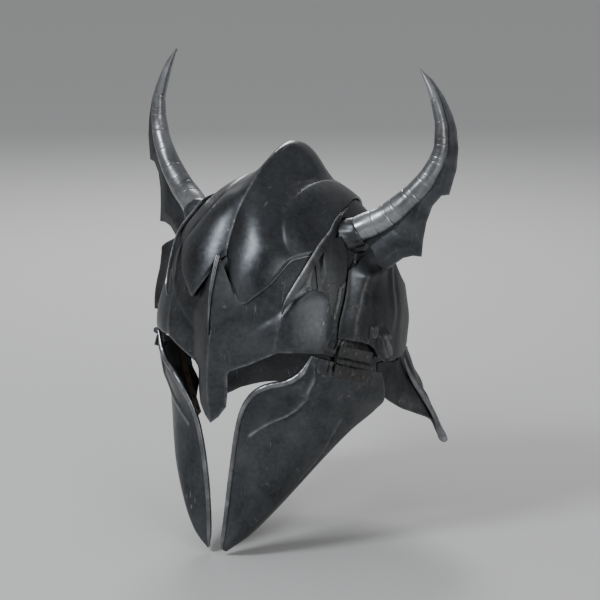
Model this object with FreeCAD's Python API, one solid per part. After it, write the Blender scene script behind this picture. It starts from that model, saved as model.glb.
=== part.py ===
import FreeCAD, Part
import math
import os
from FreeCAD import Matrix, Vector

# Horned knight helmet: a riveted steel skull with brow, crown, temple, ear and neck plates,
# two horns bolted through the skull, a quilted cap inside and two hinged cheek plates.
# Millimetres. +Z is up, the face looks along -Y, the wearer's left is +X.
# The origin is at eye level, midway between the ears.

os.makedirs("parts", exist_ok=True)

# Reference dome: elliptical in plan, domed above CENTRE_Z and upright below it.
HALF_WIDTH = 109.0
FRONT = 104.0
REAR = 102.0
CROWN = 127.0
CENTRE_Y = 9.0
CENTRE_Z = 30.0

# Layers, as offsets from the reference dome.
SKULL_OUT = -3.0
SKULL_IN = -4.8
SIDE_OUT = -0.9
SIDE_THICK = 1.7
BROW_THICK = 2.2
CROWN_OUT = 2.8
CROWN_THICK = 1.8
EAR_THICK = 1.8
CAP_OUT = -5.2
CAP_IN = -16.0
CAP_END_IN = -11.0
BAND_OUT = -16.4
BAND_IN = -18.2
BAND_END_OUT = -11.4
BAND_END_IN = -13.2
CHEEK_THICK = 2.0
NECK_THICK = 1.8

RIVET_R = 1.5
RIVET_CLEAR = 0.04

# Cheek hinge, left side; the right side is its mirror image.
HINGE_AT = Vector(104.3, -38.6, 5.6)
HINGE_AXIS = Vector(0.425, 0.853, -0.304)
HINGE_OUT = Vector(0.895, -0.446, 0.0)
KNUCKLE_R = 2.8
PIN_R = 1.5
PIN_CLEAR = 0.05
KNUCKLE = 6.4
KNUCKLE_GAP = 0.4
KNUCKLES = 5
LEAF = 13.0
LEAF_THICK = 1.3


def table(rows, x):
    """Smooth curve through rows of (x, value), level beyond both ends."""
    if x <= rows[0][0]:
        return rows[0][1]
    if x >= rows[-1][0]:
        return rows[-1][1]
    k = max(i for i in range(len(rows) - 1) if rows[i][0] <= x)
    gaps = [(b[1] - a[1]) / (b[0] - a[0]) for a, b in zip(rows, rows[1:])]

    def slope(i):
        if i == 0 or i == len(rows) - 1:
            return gaps[min(i, len(gaps) - 1)]
        a, b = gaps[i - 1], gaps[i]
        return 0.0 if a * b <= 0 else 2 * a * b / (a + b)

    (x0, y0), (x1, y1) = rows[k], rows[k + 1]
    h = x1 - x0
    t = (x - x0) / h
    return (
        y0 * (1 + 2 * t) * (1 - t) ** 2
        + h * slope(k) * t * (1 - t) ** 2
        + y1 * t * t * (3 - 2 * t)
        + h * slope(k + 1) * t * t * (t - 1)
    )


def path(rows, t):
    """Smooth curve through rows of (t, point)."""
    return Vector(*(table([(r[0], r[1][k]) for r in rows], t) for k in range(3)))


def ease(t):
    t = max(0.0, min(1.0, t))
    return t * t * (3 - 2 * t)


def dome(phi, z, d):
    """Point on the dome at bearing phi (degrees from the face, left positive) and height z."""
    a = math.radians(phi)
    b = (FRONT if math.cos(a) > 0 else REAR) + d
    s = 1.0
    if z > CENTRE_Z:
        s = math.sqrt(max(0.0, 1 - ((z - CENTRE_Z) / (CROWN + d)) ** 2))
    r = s / math.sqrt((math.sin(a) / (HALF_WIDTH + d)) ** 2 + (math.cos(a) / b) ** 2)
    return Vector(r * math.sin(a), CENTRE_Y - r * math.cos(a), z)


def over(x, psi, d):
    """Point on the dome at side distance x and at angle psi up from the face over the top."""
    a = math.radians(psi)
    b = (FRONT if math.cos(a) > 0 else REAR) + d
    k = math.sqrt(1 - (x / (HALF_WIDTH + d)) ** 2)
    return Vector(x, CENTRE_Y - b * k * math.cos(a), CENTRE_Z + (CROWN + d) * k * math.sin(a))


def plate(outer, nu, nv, thick):
    """Solid sheet under the surface outer(u, v)."""
    h = 1e-3

    def normal(u, v):
        u0, u1, v0, v1 = max(0, u - h), min(1, u + h), max(0, v - h), min(1, v + h)
        return (outer(u1, v) - outer(u0, v)).cross(outer(u, v1) - outer(u, v0)).normalize()

    top, bottom = [], []
    for i in range(nu + 1):
        row = [(outer(i / nu, j / nv), normal(i / nu, j / nv)) for j in range(nv + 1)]
        top.append([p for p, n in row])
        bottom.append([p - n * thick for p, n in row])
    skins = []
    for grid in (top, bottom):
        skin = Part.BSplineSurface()
        skin.interpolate(grid)
        skins.append(skin)
    faces = [s.toShape() for s in skins]
    for k in (0, 1):
        faces.append(Part.makeRuledSurface(*[s.uIso(k).toShape() for s in skins]))
        faces.append(Part.makeRuledSurface(*[s.vIso(k).toShape() for s in skins]))
    shell = Part.makeShell(faces)
    shell.sewShape()
    solid = Part.makeSolid(shell)
    if solid.Volume < 0:
        solid.reverse()
    return solid


def dome_solid(d, floor, ends=None):
    """Solid filling the dome at offset d (ends at the face and the back), down to height floor."""
    ends = d if ends is None else ends
    centre = Vector(0, CENTRE_Y, CENTRE_Z)
    pieces = []
    for reach, turn in ((REAR, 0), (FRONT, 180)):
        cap = Part.makeSphere(1, Vector(), Vector(0, 0, 1), 0, 90, 180)
        wall = Part.makeCylinder(1, 1, Vector(0, 0, -1), Vector(0, 0, 1), 180)
        for shape, tall in ((cap, CROWN + d), (wall, CENTRE_Z - floor)):
            shape.rotate(Vector(), Vector(0, 0, 1), turn)
            grow = Matrix()
            grow.scale(HALF_WIDTH + d, reach + ends, tall)
            shape = shape.transformGeometry(grow)
            shape.translate(centre)
            pieces.append(shape)
    return pieces[0].fuse(pieces[1:]).removeSplitter()


def prism(points, across, lo, hi):
    """Outline extruded along X (points are y, z) or along Y (points are x, z)."""
    if across == "x":
        corners = [Vector(lo, p[0], p[1]) for p in points]
        run = Vector(hi - lo, 0, 0)
    else:
        corners = [Vector(p[0], lo, p[1]) for p in points]
        run = Vector(0, hi - lo, 0)
    return Part.Face(Part.makePolygon(corners + corners[:1])).extrude(run)


def rod(start, end, radius):
    run = end - start
    return Part.makeCylinder(radius, run.Length, start, run)


def tube(points, radii):
    """Round bar through points, with a radius at each."""
    rings = []
    for k, p in enumerate(points):
        ahead = points[min(k + 1, len(points) - 1)] - points[max(k - 1, 0)]
        rings.append(Part.Wire(Part.makeCircle(radii[k], p, ahead)))
    return Part.makeLoft(rings, True, False)


def mirrored(shape):
    return shape.mirror(Vector(), Vector(1, 0, 0))


def save(name, shape):
    solids = shape.Solids
    shape = solids[0] if len(solids) == 1 else Part.makeCompound(solids)
    if not shape.isValid():
        print("not valid:", name)
    box = shape.optimalBoundingBox()
    print(name, len(solids), round(shape.Volume), [round(v, 1) for v in (
        box.XMin, box.YMin, box.ZMin, box.XMax, box.YMax, box.ZMax)])
    shape.exportStep("parts/" + name + ".step")


def save_pair(name, shape):
    save(name + "_left", shape)
    save(name + "_right", mirrored(shape))


# ---------------------------------------------------------------- skull and linings
SKULL_EDGE = [(-140, 34), (-66, 34), (-46, 24), (-20, 8), (20, 1), (60, -14), (140, -30)]
CAP_EDGE = [(-140, 46), (-60, 44), (-20, 26), (20, 14), (60, 2), (140, -8)]


def shell_between(out, inn, edge, ends=None):
    solid = dome_solid(out, -60).cut(dome_solid(inn, -61, ends))
    return solid.common(prism([(140, 200), (-140, 200)] + edge, "x", -150, 150))


skull = shell_between(SKULL_OUT, SKULL_IN, SKULL_EDGE)
cap = shell_between(CAP_OUT, CAP_IN, CAP_EDGE, CAP_END_IN)
band_strip = [(-140, 72), (-140, 50), (-60, 48), (-20, 36), (20, 26), (140, 6), (140, 28)]
band = dome_solid(BAND_OUT, -60, BAND_END_OUT).cut(dome_solid(BAND_IN, -61, BAND_END_IN))
band = band.common(prism(band_strip + [(20, 48), (-20, 58), (-60, 70)], "x", -150, 150))

# ---------------------------------------------------------------- crown plate and its bands
# Lower border: two lobes with their tips over the brows and a notch at the middle.
BORDER = [(0, 31), (3, 29.5), (11.7, 21.5), (19.4, 16.3), (27, 12.8), (37, 16.8),
          (46.8, 22.6), (52.8, 29), (57.2, 34.8), (63.7, 38.8), (70, 43)]
SIDE = [(38, 70.0), (57, 71.5), (66, 70.5), (77, 68.4), (92, 64.6), (105, 58), (120, 48), (138, 34)]
BACK_END = 140.0
KEEL = [(31, -0.6), (42, 1.8), (50, 4.2), (59, 7.0), (69, 11.4), (75, 14.8), (82, 17.4), (88, 20.8),
        (96, 23.8), (100, 23.4), (105, 21.4), (110, 18.2), (115, 14.4), (120, 10.8), (130, 5.6), (140, 1.6)]
CREST_HALF = [(60, 33), (69, 31), (80, 27), (86, 27), (90, 30), (95, 34), (100, 33), (105, 30), (110, 28),
              (116, 26), (140, 24)]
CREST_POWER = [(60, 1.3), (69, 1.8), (76, 2.0), (80, 1.7), (85, 1.35), (90, 1.15), (95, 0.9), (100, 0.9),
               (105, 1.1), (110, 1.4), (115, 1.7), (140, 1.5)]
LOBE_HALF = [(12, 30), (20, 43), (30, 53), (35, 56), (43, 46), (54, 36.5), (66, 33)]
LOBE_BULGE = [(12, 3.0), (22, 4.6), (32, 5.4), (45, 4.8), (56, 3.2), (68, 0.6), (74, 0)]
ROUND_TOP = 0.25


def crown_base(psi):
    """The plate lies over the brow plate in front, and close to the skull above it."""
    return 2.8 * (1 - ease((psi - 42) / 22)) + 0.1


def crown_offset(x, psi):
    """Height of the crown plate over the dome: a keeled crest that parts into two lobes."""
    side, base = abs(x), crown_base(psi)
    rise = table(KEEL, psi) - base
    blunt = 0.02 + ROUND_TOP * ease((psi - 80) / 14)
    t = (math.hypot(side / table(CREST_HALF, psi), blunt) - blunt) / (math.hypot(1, blunt) - blunt)
    crest = rise * max(0.0, 1 - t) ** table(CREST_POWER, psi)
    t = min(1.0, side / table(LOBE_HALF, psi))
    lobe = rise * (1 - t) ** 1.15 + table(LOBE_BULGE, psi) * 4 * t * (1 - t)
    mix = ease((psi - 56) / 12)
    return base + crest * mix + lobe * (1 - mix)


def crown_surface(u, v):
    spread = 2 * u - 1
    low = table(BORDER, abs(spread) * 70)
    psi = low + (BACK_END - 6 * spread * spread - low) * v
    x = spread * table(SIDE, psi)
    return over(x, psi, crown_offset(x, psi))


crown = plate(crown_surface, 44, 34, CROWN_THICK)

# Raised band from the brow point up along each side of the crown plate.
BAND = [(0.0, (56.5, -1.0)), (0.14, (60.5, 10)), (0.28, (65.0, 20.5)), (0.42, (69.8, 32)),
        (0.56, (73.0, 45)), (0.70, (73.6, 58)), (0.85, (71.6, 70)), (1.0, (68.2, 88))]
BAND_HALF = 2.4


def band_surface(u, v):
    x, psi = table([(r[0], r[1][0]) for r in BAND], v), table([(r[0], r[1][1]) for r in BAND], v)
    half = BAND_HALF * (0.35 + 0.65 * ease(min(v, 1 - v) * 6))
    lift = crown_base(psi) + table([(0.0, 5.7), (0.3, 3.7), (0.6, 3.0), (1.0, 2.5)], v)
    return over(x + (2 * u - 1) * half, psi, lift)


crown_band = plate(band_surface, 4, 24, 1.5)

# Strip down the back of the skull, from the crest to the neck guard.
def back_strip_surface(u, v):
    z = 108 - 118 * v
    x = (2 * u - 1) * (10 - 3 * v)
    return dome(180 - math.degrees(x / REAR), z, -0.7 + 1.8 * math.sin(math.pi * u))


back_strip = plate(back_strip_surface, 8, 16, 1.5)

# ---------------------------------------------------------------- brow plate with nose guard
RIDGE = [(-48, 8.3), (-11, 12.0), (39, 8.8), (60, 8.8), (97, 7.4)]
RIDGE_HALF = [(40, 25.0), (60, 19.0), (97, 9.0)]
BROW_OUT = 0.2


def brow_offset(x, z):
    """Height of the brow plate: a medial prow, and a lip flared over the eyes."""
    side = abs(x)
    prow = table(RIDGE, z) * max(0.0, 1 - side / table(RIDGE_HALF, z))
    flare = 5.4 * ease((side - 22) / 34) * (1 - ease((z - 22) / 42))
    step = 1.5 * ease((side - 66) / 8) * (1 - ease((30 - z) / 12))
    return BROW_OUT + prow + flare + step


def brow_surface(u, v):
    phi = (2 * u - 1) * 62
    z = -52 + 164 * v
    x = dome(phi, z, 0).x
    return dome(phi, z, brow_offset(x, z))


BROW_OUTLINE = [(0, -48), (6, -43), (13.4, -32), (14.6, -2.5), (31.8, 5), (55.5, 18.2), (70, 18.6),
                (83.5, 17.2), (88, 30), (90.6, 51), (89.5, 60.5), (84.2, 68), (77.5, 71.5),
                (73.5, 74), (73, 86), (70, 98), (64, 104), (55, 101), (49, 90), (44, 81), (36, 74),
                (27, 69), (22, 73), (18, 65.4), (11, 75.2), (6, 84.6), (2.4, 91), (0, 96.5)]
outline = BROW_OUTLINE + [(-x, z) for x, z in reversed(BROW_OUTLINE[1:-1])]
brow = plate(brow_surface, 48, 26, BROW_THICK).common(prism(outline, "y", -140, -20))


# Bead along the middle ridge of the brow.
def bead_surface(u, v):
    z = 22 + 74 * v
    x = (2 * u - 1) * 1.3
    return dome(math.degrees(x / FRONT), z, brow_offset(x, z) + 2.1)


bead = plate(bead_surface, 4, 14, 1.2)

# ---------------------------------------------------------------- temple and ear plates
def temple_offset(z, phi):
    seam = table([(47, 17), (62, 6), (85, -8)], phi)
    return SIDE_OUT + 3.4 * (1 - ease((z - seam) / 34)) * ease((phi - 50) / 9) * ease((75 - phi) / 7)


def temple_surface(u, v):
    phi = 51 + 29 * u
    low = table([(47, 18.5), (55, 14.0), (62, 8.6), (70, 3.4), (80, -1.0)], phi)
    z = low + (table([(50, 96), (60, 108), (80, 114)], phi) - low) * v
    return dome(phi, z, temple_offset(z, phi))


EAR_FRONT = [(20, 58.2), (40, 59.4), (60, 62.7), (80, 66.2), (94, 69.2)]
EAR_RIDGE = [(20, 11.0), (40, 11.5), (60, 11.5), (74, 14.0), (84, 17.0)]
EAR_FALL = [(0, 1.0), (8, 0.74), (18, 0.42), (30, 0.18), (45, 0.04), (60, 0)]
EAR_LOW = [(60, 29), (66, 27), (72, 23), (77, 17), (81, 8), (85, 2), (100, 0), (118, 8), (132, 22)]
EAR_HIGH = [(60, 84), (68, 92), (80, 95), (90, 94), (98, 84), (108, 66), (118, 56), (132, 46)]
EAR_STEP = 6.5
EAR_REAR = 132.0


def ear_offset(phi, z):
    """The ear plate steps out sharply at its front edge, then sinks back onto the skull."""
    behind = phi - table(EAR_FRONT, z)
    height = 1.4 + (table(EAR_RIDGE, z) - 1.4) * (1 - ease((z - 79) / 17))
    if behind < EAR_STEP:
        return 3.4 + (height - 3.4) * (0.5 - 0.5 * math.cos(math.pi * behind / EAR_STEP))
    fold = 0.8 * math.cos(math.radians((phi - 80) * 360 / 11)) * ease((phi - 72) / 6) * ease((104 - phi) / 8)
    swell = 2.2 * math.exp(-((phi - 116) / 9) ** 2 - ((z - 32) / 15) ** 2)
    fold *= ease((z - 4) / 10) * ease((84 - z) / 14)
    return 1.4 + (height - 1.4) * table(EAR_FALL, behind - EAR_STEP) + fold + swell


def ear_surface(u, v):
    low, high = table(EAR_LOW, 60 + 72 * u), table(EAR_HIGH, 60 + 72 * u)
    z = low + (high - low) * v
    front = table(EAR_FRONT, z)
    phi = front + (EAR_REAR - front) * u
    return dome(phi, z, ear_offset(phi, z))


temple = plate(temple_surface, 12, 14, SIDE_THICK)
ear = plate(ear_surface, 64, 30, EAR_THICK)

# ---------------------------------------------------------------- neck guard
NECK_LOW = [(86, -26), (90, -31), (94.6, -39), (100, -47), (106, -54), (110.5, -61), (114.8, -82),
            (118, -82), (122, -78), (127, -72), (140, -66), (160, -66), (180, -68)]
NECK_REACH = [(86, -6.8), (92, -6.4), (99, 1.5), (106, 14), (112, 28), (114.8, 33.5), (119, 34),
              (123, 31), (128, 25), (140, 19), (160, 20), (180, 21)]
NECK_TOP = [(86, -2), (92, -2), (96, -4), (99, -4), (104, 3), (120, 2), (150, -8), (180, -12)]
NECK_START = [(86, -6.8), (92, -6.4), (99, -0.9), (180, -0.9)]
NECK_POWER = [(86, 1.7), (106, 1.5), (112, 1.05), (126, 1.05), (138, 1.6), (180, 1.7)]


def neck_height(phi, v):
    top = table(NECK_TOP, phi)
    return top + (table(NECK_LOW, phi) - top) * v


def neck_offset(phi, v):
    start = table(NECK_START, phi)
    return start + (table(NECK_REACH, phi) - start) * v ** table(NECK_POWER, phi)


def neck_point(phi, v, extra):
    return dome(phi, neck_height(phi, v), neck_offset(phi, v) + extra)


def neck_surface(u, v):
    side = 2 * u - 1
    phi = 180 - 94 * abs(side)
    p = neck_point(phi, 1 - v, 0.0)
    return Vector(p.x if side >= 0 else -p.x, p.y, p.z)


def guard_offset(phi, z):
    top = neck_height(phi, 0)
    return neck_offset(phi, min(1.0, (z - top) / (neck_height(phi, 1) - top)))


def rib_surface(u, v):
    """The rib lies on the guard, grows wider downward and runs past its edge as a spur."""
    across = 2 * u - 1
    middle = 104.5 + 10.3 * v
    half = 0.9 + 1.7 * v
    z = neck_height(middle, 0.12 + 0.88 * v)
    front, rear = guard_offset(middle - half, z), guard_offset(middle + half, z)
    level = (front + rear) / 2 + across * (rear - front) / 2
    return dome(middle + across * half, z, level + 2.7 + (0.7 + 2.4 * v) * (1 - across ** 2))


neck = plate(lambda u, v: neck_surface(1 - u, v), 72, 12, NECK_THICK)
neck_rib = plate(lambda u, v: rib_surface(u, 1 - v), 5, 14, 1.6)

# ---------------------------------------------------------------- horns, fins, collars, nuts
HORN = [Vector(76.0, -11.3, 107.2), Vector(90.7, -3.5, 116.4), Vector(106.3, 5, 125.1),
        Vector(120.5, 9.5, 137.2), Vector(133.3, 14.3, 150.7), Vector(142.6, 18.2, 164),
        Vector(148.4, 21.3, 176.8), Vector(151.3, 22.7, 189.5), Vector(151.1, 22.9, 202.3),
        Vector(147.4, 23.4, 217.1), Vector(140.1, 23.4, 235.1), Vector(129.4, 22.2, 252.2)]
HORN_R = [12.6, 12.2, 11.4, 10.4, 9.4, 8.4, 7.5, 6.8, 6.0, 4.9, 3.2, 0.5]
HORN_FOOT = Vector(85.2, -6.2, 112.4)
FOOT_OUT = Vector(0.797, -0.168, 0.580)
STUD_R = 4.0
COLLAR_R = 14.2

seat = dome_solid(-0.5, -60)
horn_bar = tube(HORN, HORN_R)
horn = horn_bar.cut(seat)
horn = max(horn.Solids, key=lambda s: s.Volume)
stud = rod(HORN_FOOT + FOOT_OUT * 4, HORN_FOOT - FOOT_OUT * 15.5, STUD_R)
horn = horn.fuse(stud).removeSplitter()

collar = rod(HORN_FOOT - FOOT_OUT * 6, HORN_FOOT + FOOT_OUT * 3.2, COLLAR_R + 1.6)
collar = collar.cut(seat).cut(tube(HORN, [r + 0.05 for r in HORN_R]))
collar = max(collar.Solids, key=lambda s: s.Volume)

washer_at = HORN_FOOT - FOOT_OUT * 8.45
nut = rod(washer_at, washer_at - FOOT_OUT * 1.4, 9.0)
hexagon = Part.Face(Part.makePolygon([
    Vector(7.4 * math.cos(math.radians(60 * k)), 7.4 * math.sin(math.radians(60 * k)), 0)
    for k in range(7)]))
hexagon = hexagon.extrude(Vector(0, 0, 5))
hexagon.Placement = FreeCAD.Placement(
    washer_at - FOOT_OUT * 1.4, FreeCAD.Rotation(Vector(0, 0, 1), FOOT_OUT * -1))
stud_hole = rod(HORN_FOOT + FOOT_OUT * 4, HORN_FOOT - FOOT_OUT * 16, STUD_R + 0.05)
nut = nut.fuse(hexagon).removeSplitter().cut(stud_hole)
cap_pocket = rod(HORN_FOOT - FOOT_OUT * 6.0, HORN_FOOT - FOOT_OUT * 16.6, 11.0)

# Fin: one flat blade outside each horn, with two points, ending on the side of the skull.
FIN_EDGE = [(129.4, 251), (137.5, 243.3), (148.5, 229), (156, 215), (161, 203), (164.4, 187),
            (164.7, 170), (160.2, 148.2), (153.5, 147.2), (146.5, 138), (142.5, 124), (141, 109),
            (140.8, 94.6), (133, 94.8), (125, 92.5), (119, 87.5), (113, 82), (108, 84), (100, 98),
            (88, 106), (91, 116), (106, 125), (120, 137), (133, 151), (142, 164), (148, 177), (151, 190),
            (151, 202), (147, 217), (140, 235)]
FIN_THICK = 2.4


def fin_y(x, z):
    return -2.0 + 0.277 * (x - 90.7) + 0.111 * (z - 116.4)


corners = [Vector(x, fin_y(x, z) - FIN_THICK / 2, z) for x, z in FIN_EDGE]
fin = Part.Face(Part.makePolygon(corners + corners[:1])).extrude(Vector(0, FIN_THICK, 0))
fin = fin.cut([dome_solid(-0.4, -60), horn_bar, collar, ear])
fin = max(fin.Solids, key=lambda s: s.Volume)

# ---------------------------------------------------------------- cheek plates and rims
CHEEK_FRONT = [(0.00, (82.1, -69.1, 15.6)), (0.07, (73, -74.6, -1)), (0.13, (62.6, -81.6, -8.1)),
               (0.19, (52.0, -88.6, -10.8)), (0.25, (42.2, -94.2, -16.2)), (0.31, (33, -95.8, -26.7)),
               (0.38, (26, -94.6, -38.9)), (0.47, (20.4, -93.0, -56)), (0.58, (15.7, -92.2, -80.9)),
               (0.70, (12.2, -92.6, -105)), (0.85, (9.2, -94.2, -134)), (1.00, (7.0, -97.3, -161.5))]
CHEEK_REAR = [(0.00, (107.0, 1.0, -10)), (0.10, (106.8, 5.5, -22)), (0.20, (105.6, 7.5, -35)),
              (0.30, (97, 5.0, -46)), (0.40, (86, -12, -60)), (0.52, (72, -33, -82)),
              (0.64, (58, -49, -104)), (0.78, (40, -65, -130)), (0.90, (24, -80.5, -151)),
              (1.00, (10.5, -95.5, -163.5))]
CHEEK_BULGE = [(0, 7.6), (0.1, 10.6), (0.2, 15), (0.3, 18), (0.4, 20), (0.6, 21), (0.7, 20), (0.8, 17.5),
               (0.9, 12), (0.96, 6), (1, 0.3)]


def cheek_surface(u, v):
    a, b = path(CHEEK_FRONT, v), path(CHEEK_REAR, v)
    across = b - a
    out = Vector(across.y, -across.x, 0).normalize()
    p = a + across * u
    return p + out * (4 * u * (1 - u) * table(CHEEK_BULGE, v))


cheek_sheet = plate(lambda u, v: cheek_surface(v, u), 30, 14, CHEEK_THICK)
rim_bar = tube([cheek_surface(0, k / 24) + Vector(0, 0.6, 0) for k in range(25)],
               [1.0 + 1.2 * ease(min(k, 24 - k) / 3) for k in range(25)])
cheek_rim = rim_bar.cut(cheek_sheet)
cheek = cheek_sheet

# ---------------------------------------------------------------- hinges
UP = HINGE_OUT.cross(HINGE_AXIS)
if UP.z < 0:
    UP = UP * -1
LENGTH = KNUCKLES * KNUCKLE + (KNUCKLES - 1) * KNUCKLE_GAP


def knuckle(k):
    start = HINGE_AT + HINGE_AXIS * (-LENGTH / 2 + k * (KNUCKLE + KNUCKLE_GAP))
    return rod(start, start + HINGE_AXIS * KNUCKLE, KNUCKLE_R)


def slab(along0, along1, up_dir, up0, up1, out_dir, out0, out1):
    """Box in the hinge's own directions."""
    p = HINGE_AT + HINGE_AXIS * along0 + up_dir * up0 + out_dir * out0
    face = Part.Face(Part.makePolygon([
        p, p + HINGE_AXIS * (along1 - along0),
        p + HINGE_AXIS * (along1 - along0) + up_dir * (up1 - up0),
        p + up_dir * (up1 - up0), p]))
    return face.extrude(out_dir * (out1 - out0))


pin_hole = rod(HINGE_AT - HINGE_AXIS * LENGTH, HINGE_AT + HINGE_AXIS * LENGTH, PIN_R + PIN_CLEAR)
pin = rod(HINGE_AT - HINGE_AXIS * (LENGTH / 2 + 0.8), HINGE_AT + HINGE_AXIS * (LENGTH / 2 + 0.8), PIN_R)
for side in (-1, 1):
    end = HINGE_AT + HINGE_AXIS * side * (LENGTH / 2 + 0.3)
    pin = pin.fuse(rod(end, end + HINGE_AXIS * side * 1.3, 2.3))
pin = pin.removeSplitter()


def leaf(knuckles, direction, tilt):
    """One hinge leaf: a flat strap with the given knuckles rolled at its edge."""
    turn = FreeCAD.Rotation(HINGE_AXIS, tilt)
    up, out = turn.multVec(UP) * direction, turn.multVec(HINGE_OUT)
    low = 0.15 - KNUCKLE_R
    strap = slab(-LENGTH / 2, LENGTH / 2, up, 3.4, LEAF, out, low, low + LEAF_THICK)
    for k in knuckles:
        a = -LENGTH / 2 + k * (KNUCKLE + KNUCKLE_GAP)
        strap = strap.fuse(slab(a, a + KNUCKLE, up, 0, 3.6, out, low, low + LEAF_THICK))
        strap = strap.fuse(knuckle(k))
    return strap.removeSplitter().cut(pin_hole), up, out


upper, upper_up, upper_out = leaf((0, 2, 4), 1, 0)
lower, lower_up, lower_out = leaf((1, 3), -1, -12)

# ---------------------------------------------------------------- rivets
def leaf_rivets(up, out, depth):
    rows = []
    for side in (-1, 0, 1):
        at = HINGE_AT + HINGE_AXIS * side * 12 + up * 9.0 - out * KNUCKLE_R
        rows.append((at + out * (LEAF_THICK + 0.5), at - out * depth))
    return rows


def through(surface, inner, points):
    """Rivet ends on the outer surface(a, b) and at offset inner of the dome."""
    rows = []
    for a, b in points:
        top = surface(a, b)
        if top.z > CENTRE_Z:
            lift = (top.z - CENTRE_Z) / CROWN ** 2
        else:
            lift = 0.0
        reach = FRONT if top.y < CENTRE_Y else REAR
        out = Vector(top.x / HALF_WIDTH ** 2, (top.y - CENTRE_Y) / reach ** 2, lift).normalize()
        rows.append((top + out * 0.3, top + out * (inner - 0.3)))
    return rows


def fit_rivets(rows, plates):
    """Solid rivets, and the plates with clearance holes for them."""
    bars = [rod(a, b, RIVET_R) for a, b in rows]
    holes = [rod(a + (a - b) * 0.2, b - (a - b) * 0.2, RIVET_R + RIVET_CLEAR) for a, b in rows]
    return Part.makeCompound(bars), [p.cut(holes) for p in plates]


hinge_upper_rivets, (upper, temple, skull) = fit_rivets(
    leaf_rivets(upper_up, upper_out, 8.5), [upper, temple, skull])
skull = skull.cut([rod(mirrored(Part.Vertex(a)).Point, mirrored(Part.Vertex(b)).Point,
                       RIVET_R + RIVET_CLEAR) for a, b in leaf_rivets(upper_up, upper_out, 9)])
hinge_lower_rivets, (lower, cheek) = fit_rivets(leaf_rivets(lower_up, lower_out, 6.5), [lower, cheek])

neck_rows = through(lambda phi, v: neck_point(phi, v, 0.0), -4.9,
                    [(phi, 0.07) for phi in (124, 142, 161)])
neck_rows += [(Vector(-a.x, a.y, a.z), Vector(-b.x, b.y, b.z)) for a, b in neck_rows]
neck_rivets, (neck, skull) = fit_rivets(neck_rows, [neck, skull])

brow_rows = through(lambda x, z: dome(math.degrees(math.asin(x / 104)), z, 0.4), -5.2,
                    [(40, 62), (58, 76)])
brow_rows += [(Vector(-a.x, a.y, a.z), Vector(-b.x, b.y, b.z)) for a, b in brow_rows]
brow_rivets, (brow, skull) = fit_rivets(brow_rows, [brow, skull])

# ---------------------------------------------------------------- chin straps
STRAP_HALF = 8.0
STRAP_THICK = 2.2


def strap_surface(u, v):
    centre = path([(0, (90.4, -34, 27)), (0.3, (86.0, -36, 0)), (0.6, (76.0, -40, -28)),
                   (1, (56.0, -48, -62))], v)
    along = Vector(0.43, 0.903, 0)
    return centre + along * ((2 * u - 1) * STRAP_HALF)


strap = plate(lambda u, v: strap_surface(1 - u, v), 4, 14, STRAP_THICK)
stud_at = strap_surface(0.5, 0.93)
stud_out = (strap_surface(0.6, 0.93) - stud_at).cross(strap_surface(0.5, 0.98) - stud_at).normalize()
if stud_out.x < 0:
    stud_out = stud_out * -1
strap_stud = rod(stud_at - stud_out * 4.2, stud_at + stud_out * 0.8, 1.8)
strap_stud = strap_stud.fuse(rod(stud_at - stud_out * 4.6, stud_at - stud_out * 7.4, 3.2))
strap_stud = strap_stud.fuse(rod(stud_at - stud_out * 4.0, stud_at - stud_out * 5.0, 1.8))
strap_stud = strap_stud.fuse(rod(stud_at + stud_out * 0.1, stud_at + stud_out * 1.0, 4.0))
strap_stud = strap_stud.removeSplitter()
strap_left = strap.cut(rod(stud_at - stud_out * 8, stud_at + stud_out * 8, 1.84))
strap_right = mirrored(strap)
for k in range(4):
    at = strap_surface(0.5, 0.94 - 0.11 * k)
    hole = rod(at - stud_out * 8, at + stud_out * 8, 2.3)
    strap_right = strap_right.cut(mirrored(hole))

# ---------------------------------------------------------------- openings for the horn studs
for hole in (stud_hole, mirrored(stud_hole)):
    skull = skull.cut(hole)
for hole in (cap_pocket, mirrored(cap_pocket)):
    cap = cap.cut(hole)
temple = temple.cut(stud_hole)
crown = crown.cut([horn_bar, mirrored(horn_bar)])

save("skull_shell", skull)
save("padded_cap", cap)
save("sweatband", band)
save("crown_plate", crown)
save_pair("crown_band", crown_band)
save("back_strip", back_strip)
save("brow_plate", brow)
save("brow_bead", bead)
save_pair("temple_plate", temple)
save_pair("ear_plate", ear)
save("neck_guard", neck)
save_pair("neck_rib", neck_rib)
save_pair("horn", horn)
save_pair("horn_fin", fin)
save_pair("horn_collar", collar)
save_pair("horn_nut", nut)
save_pair("cheek_plate", cheek)
save_pair("cheek_rim", cheek_rim)
save_pair("hinge_upper_leaf", upper)
save_pair("hinge_lower_leaf", lower)
save_pair("hinge_pin", pin)
save_pair("hinge_upper_rivets", hinge_upper_rivets)
save_pair("hinge_lower_rivets", hinge_lower_rivets)
save("neck_rivets", neck_rivets)
save("brow_rivets", brow_rivets)
save("chin_strap_left", strap_left)
save("chin_strap_right", strap_right)
save("strap_stud", strap_stud)
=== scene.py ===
import bpy
import math
import numpy as np
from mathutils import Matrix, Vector
from mathutils.geometry import delaunay_2d_cdt


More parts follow.
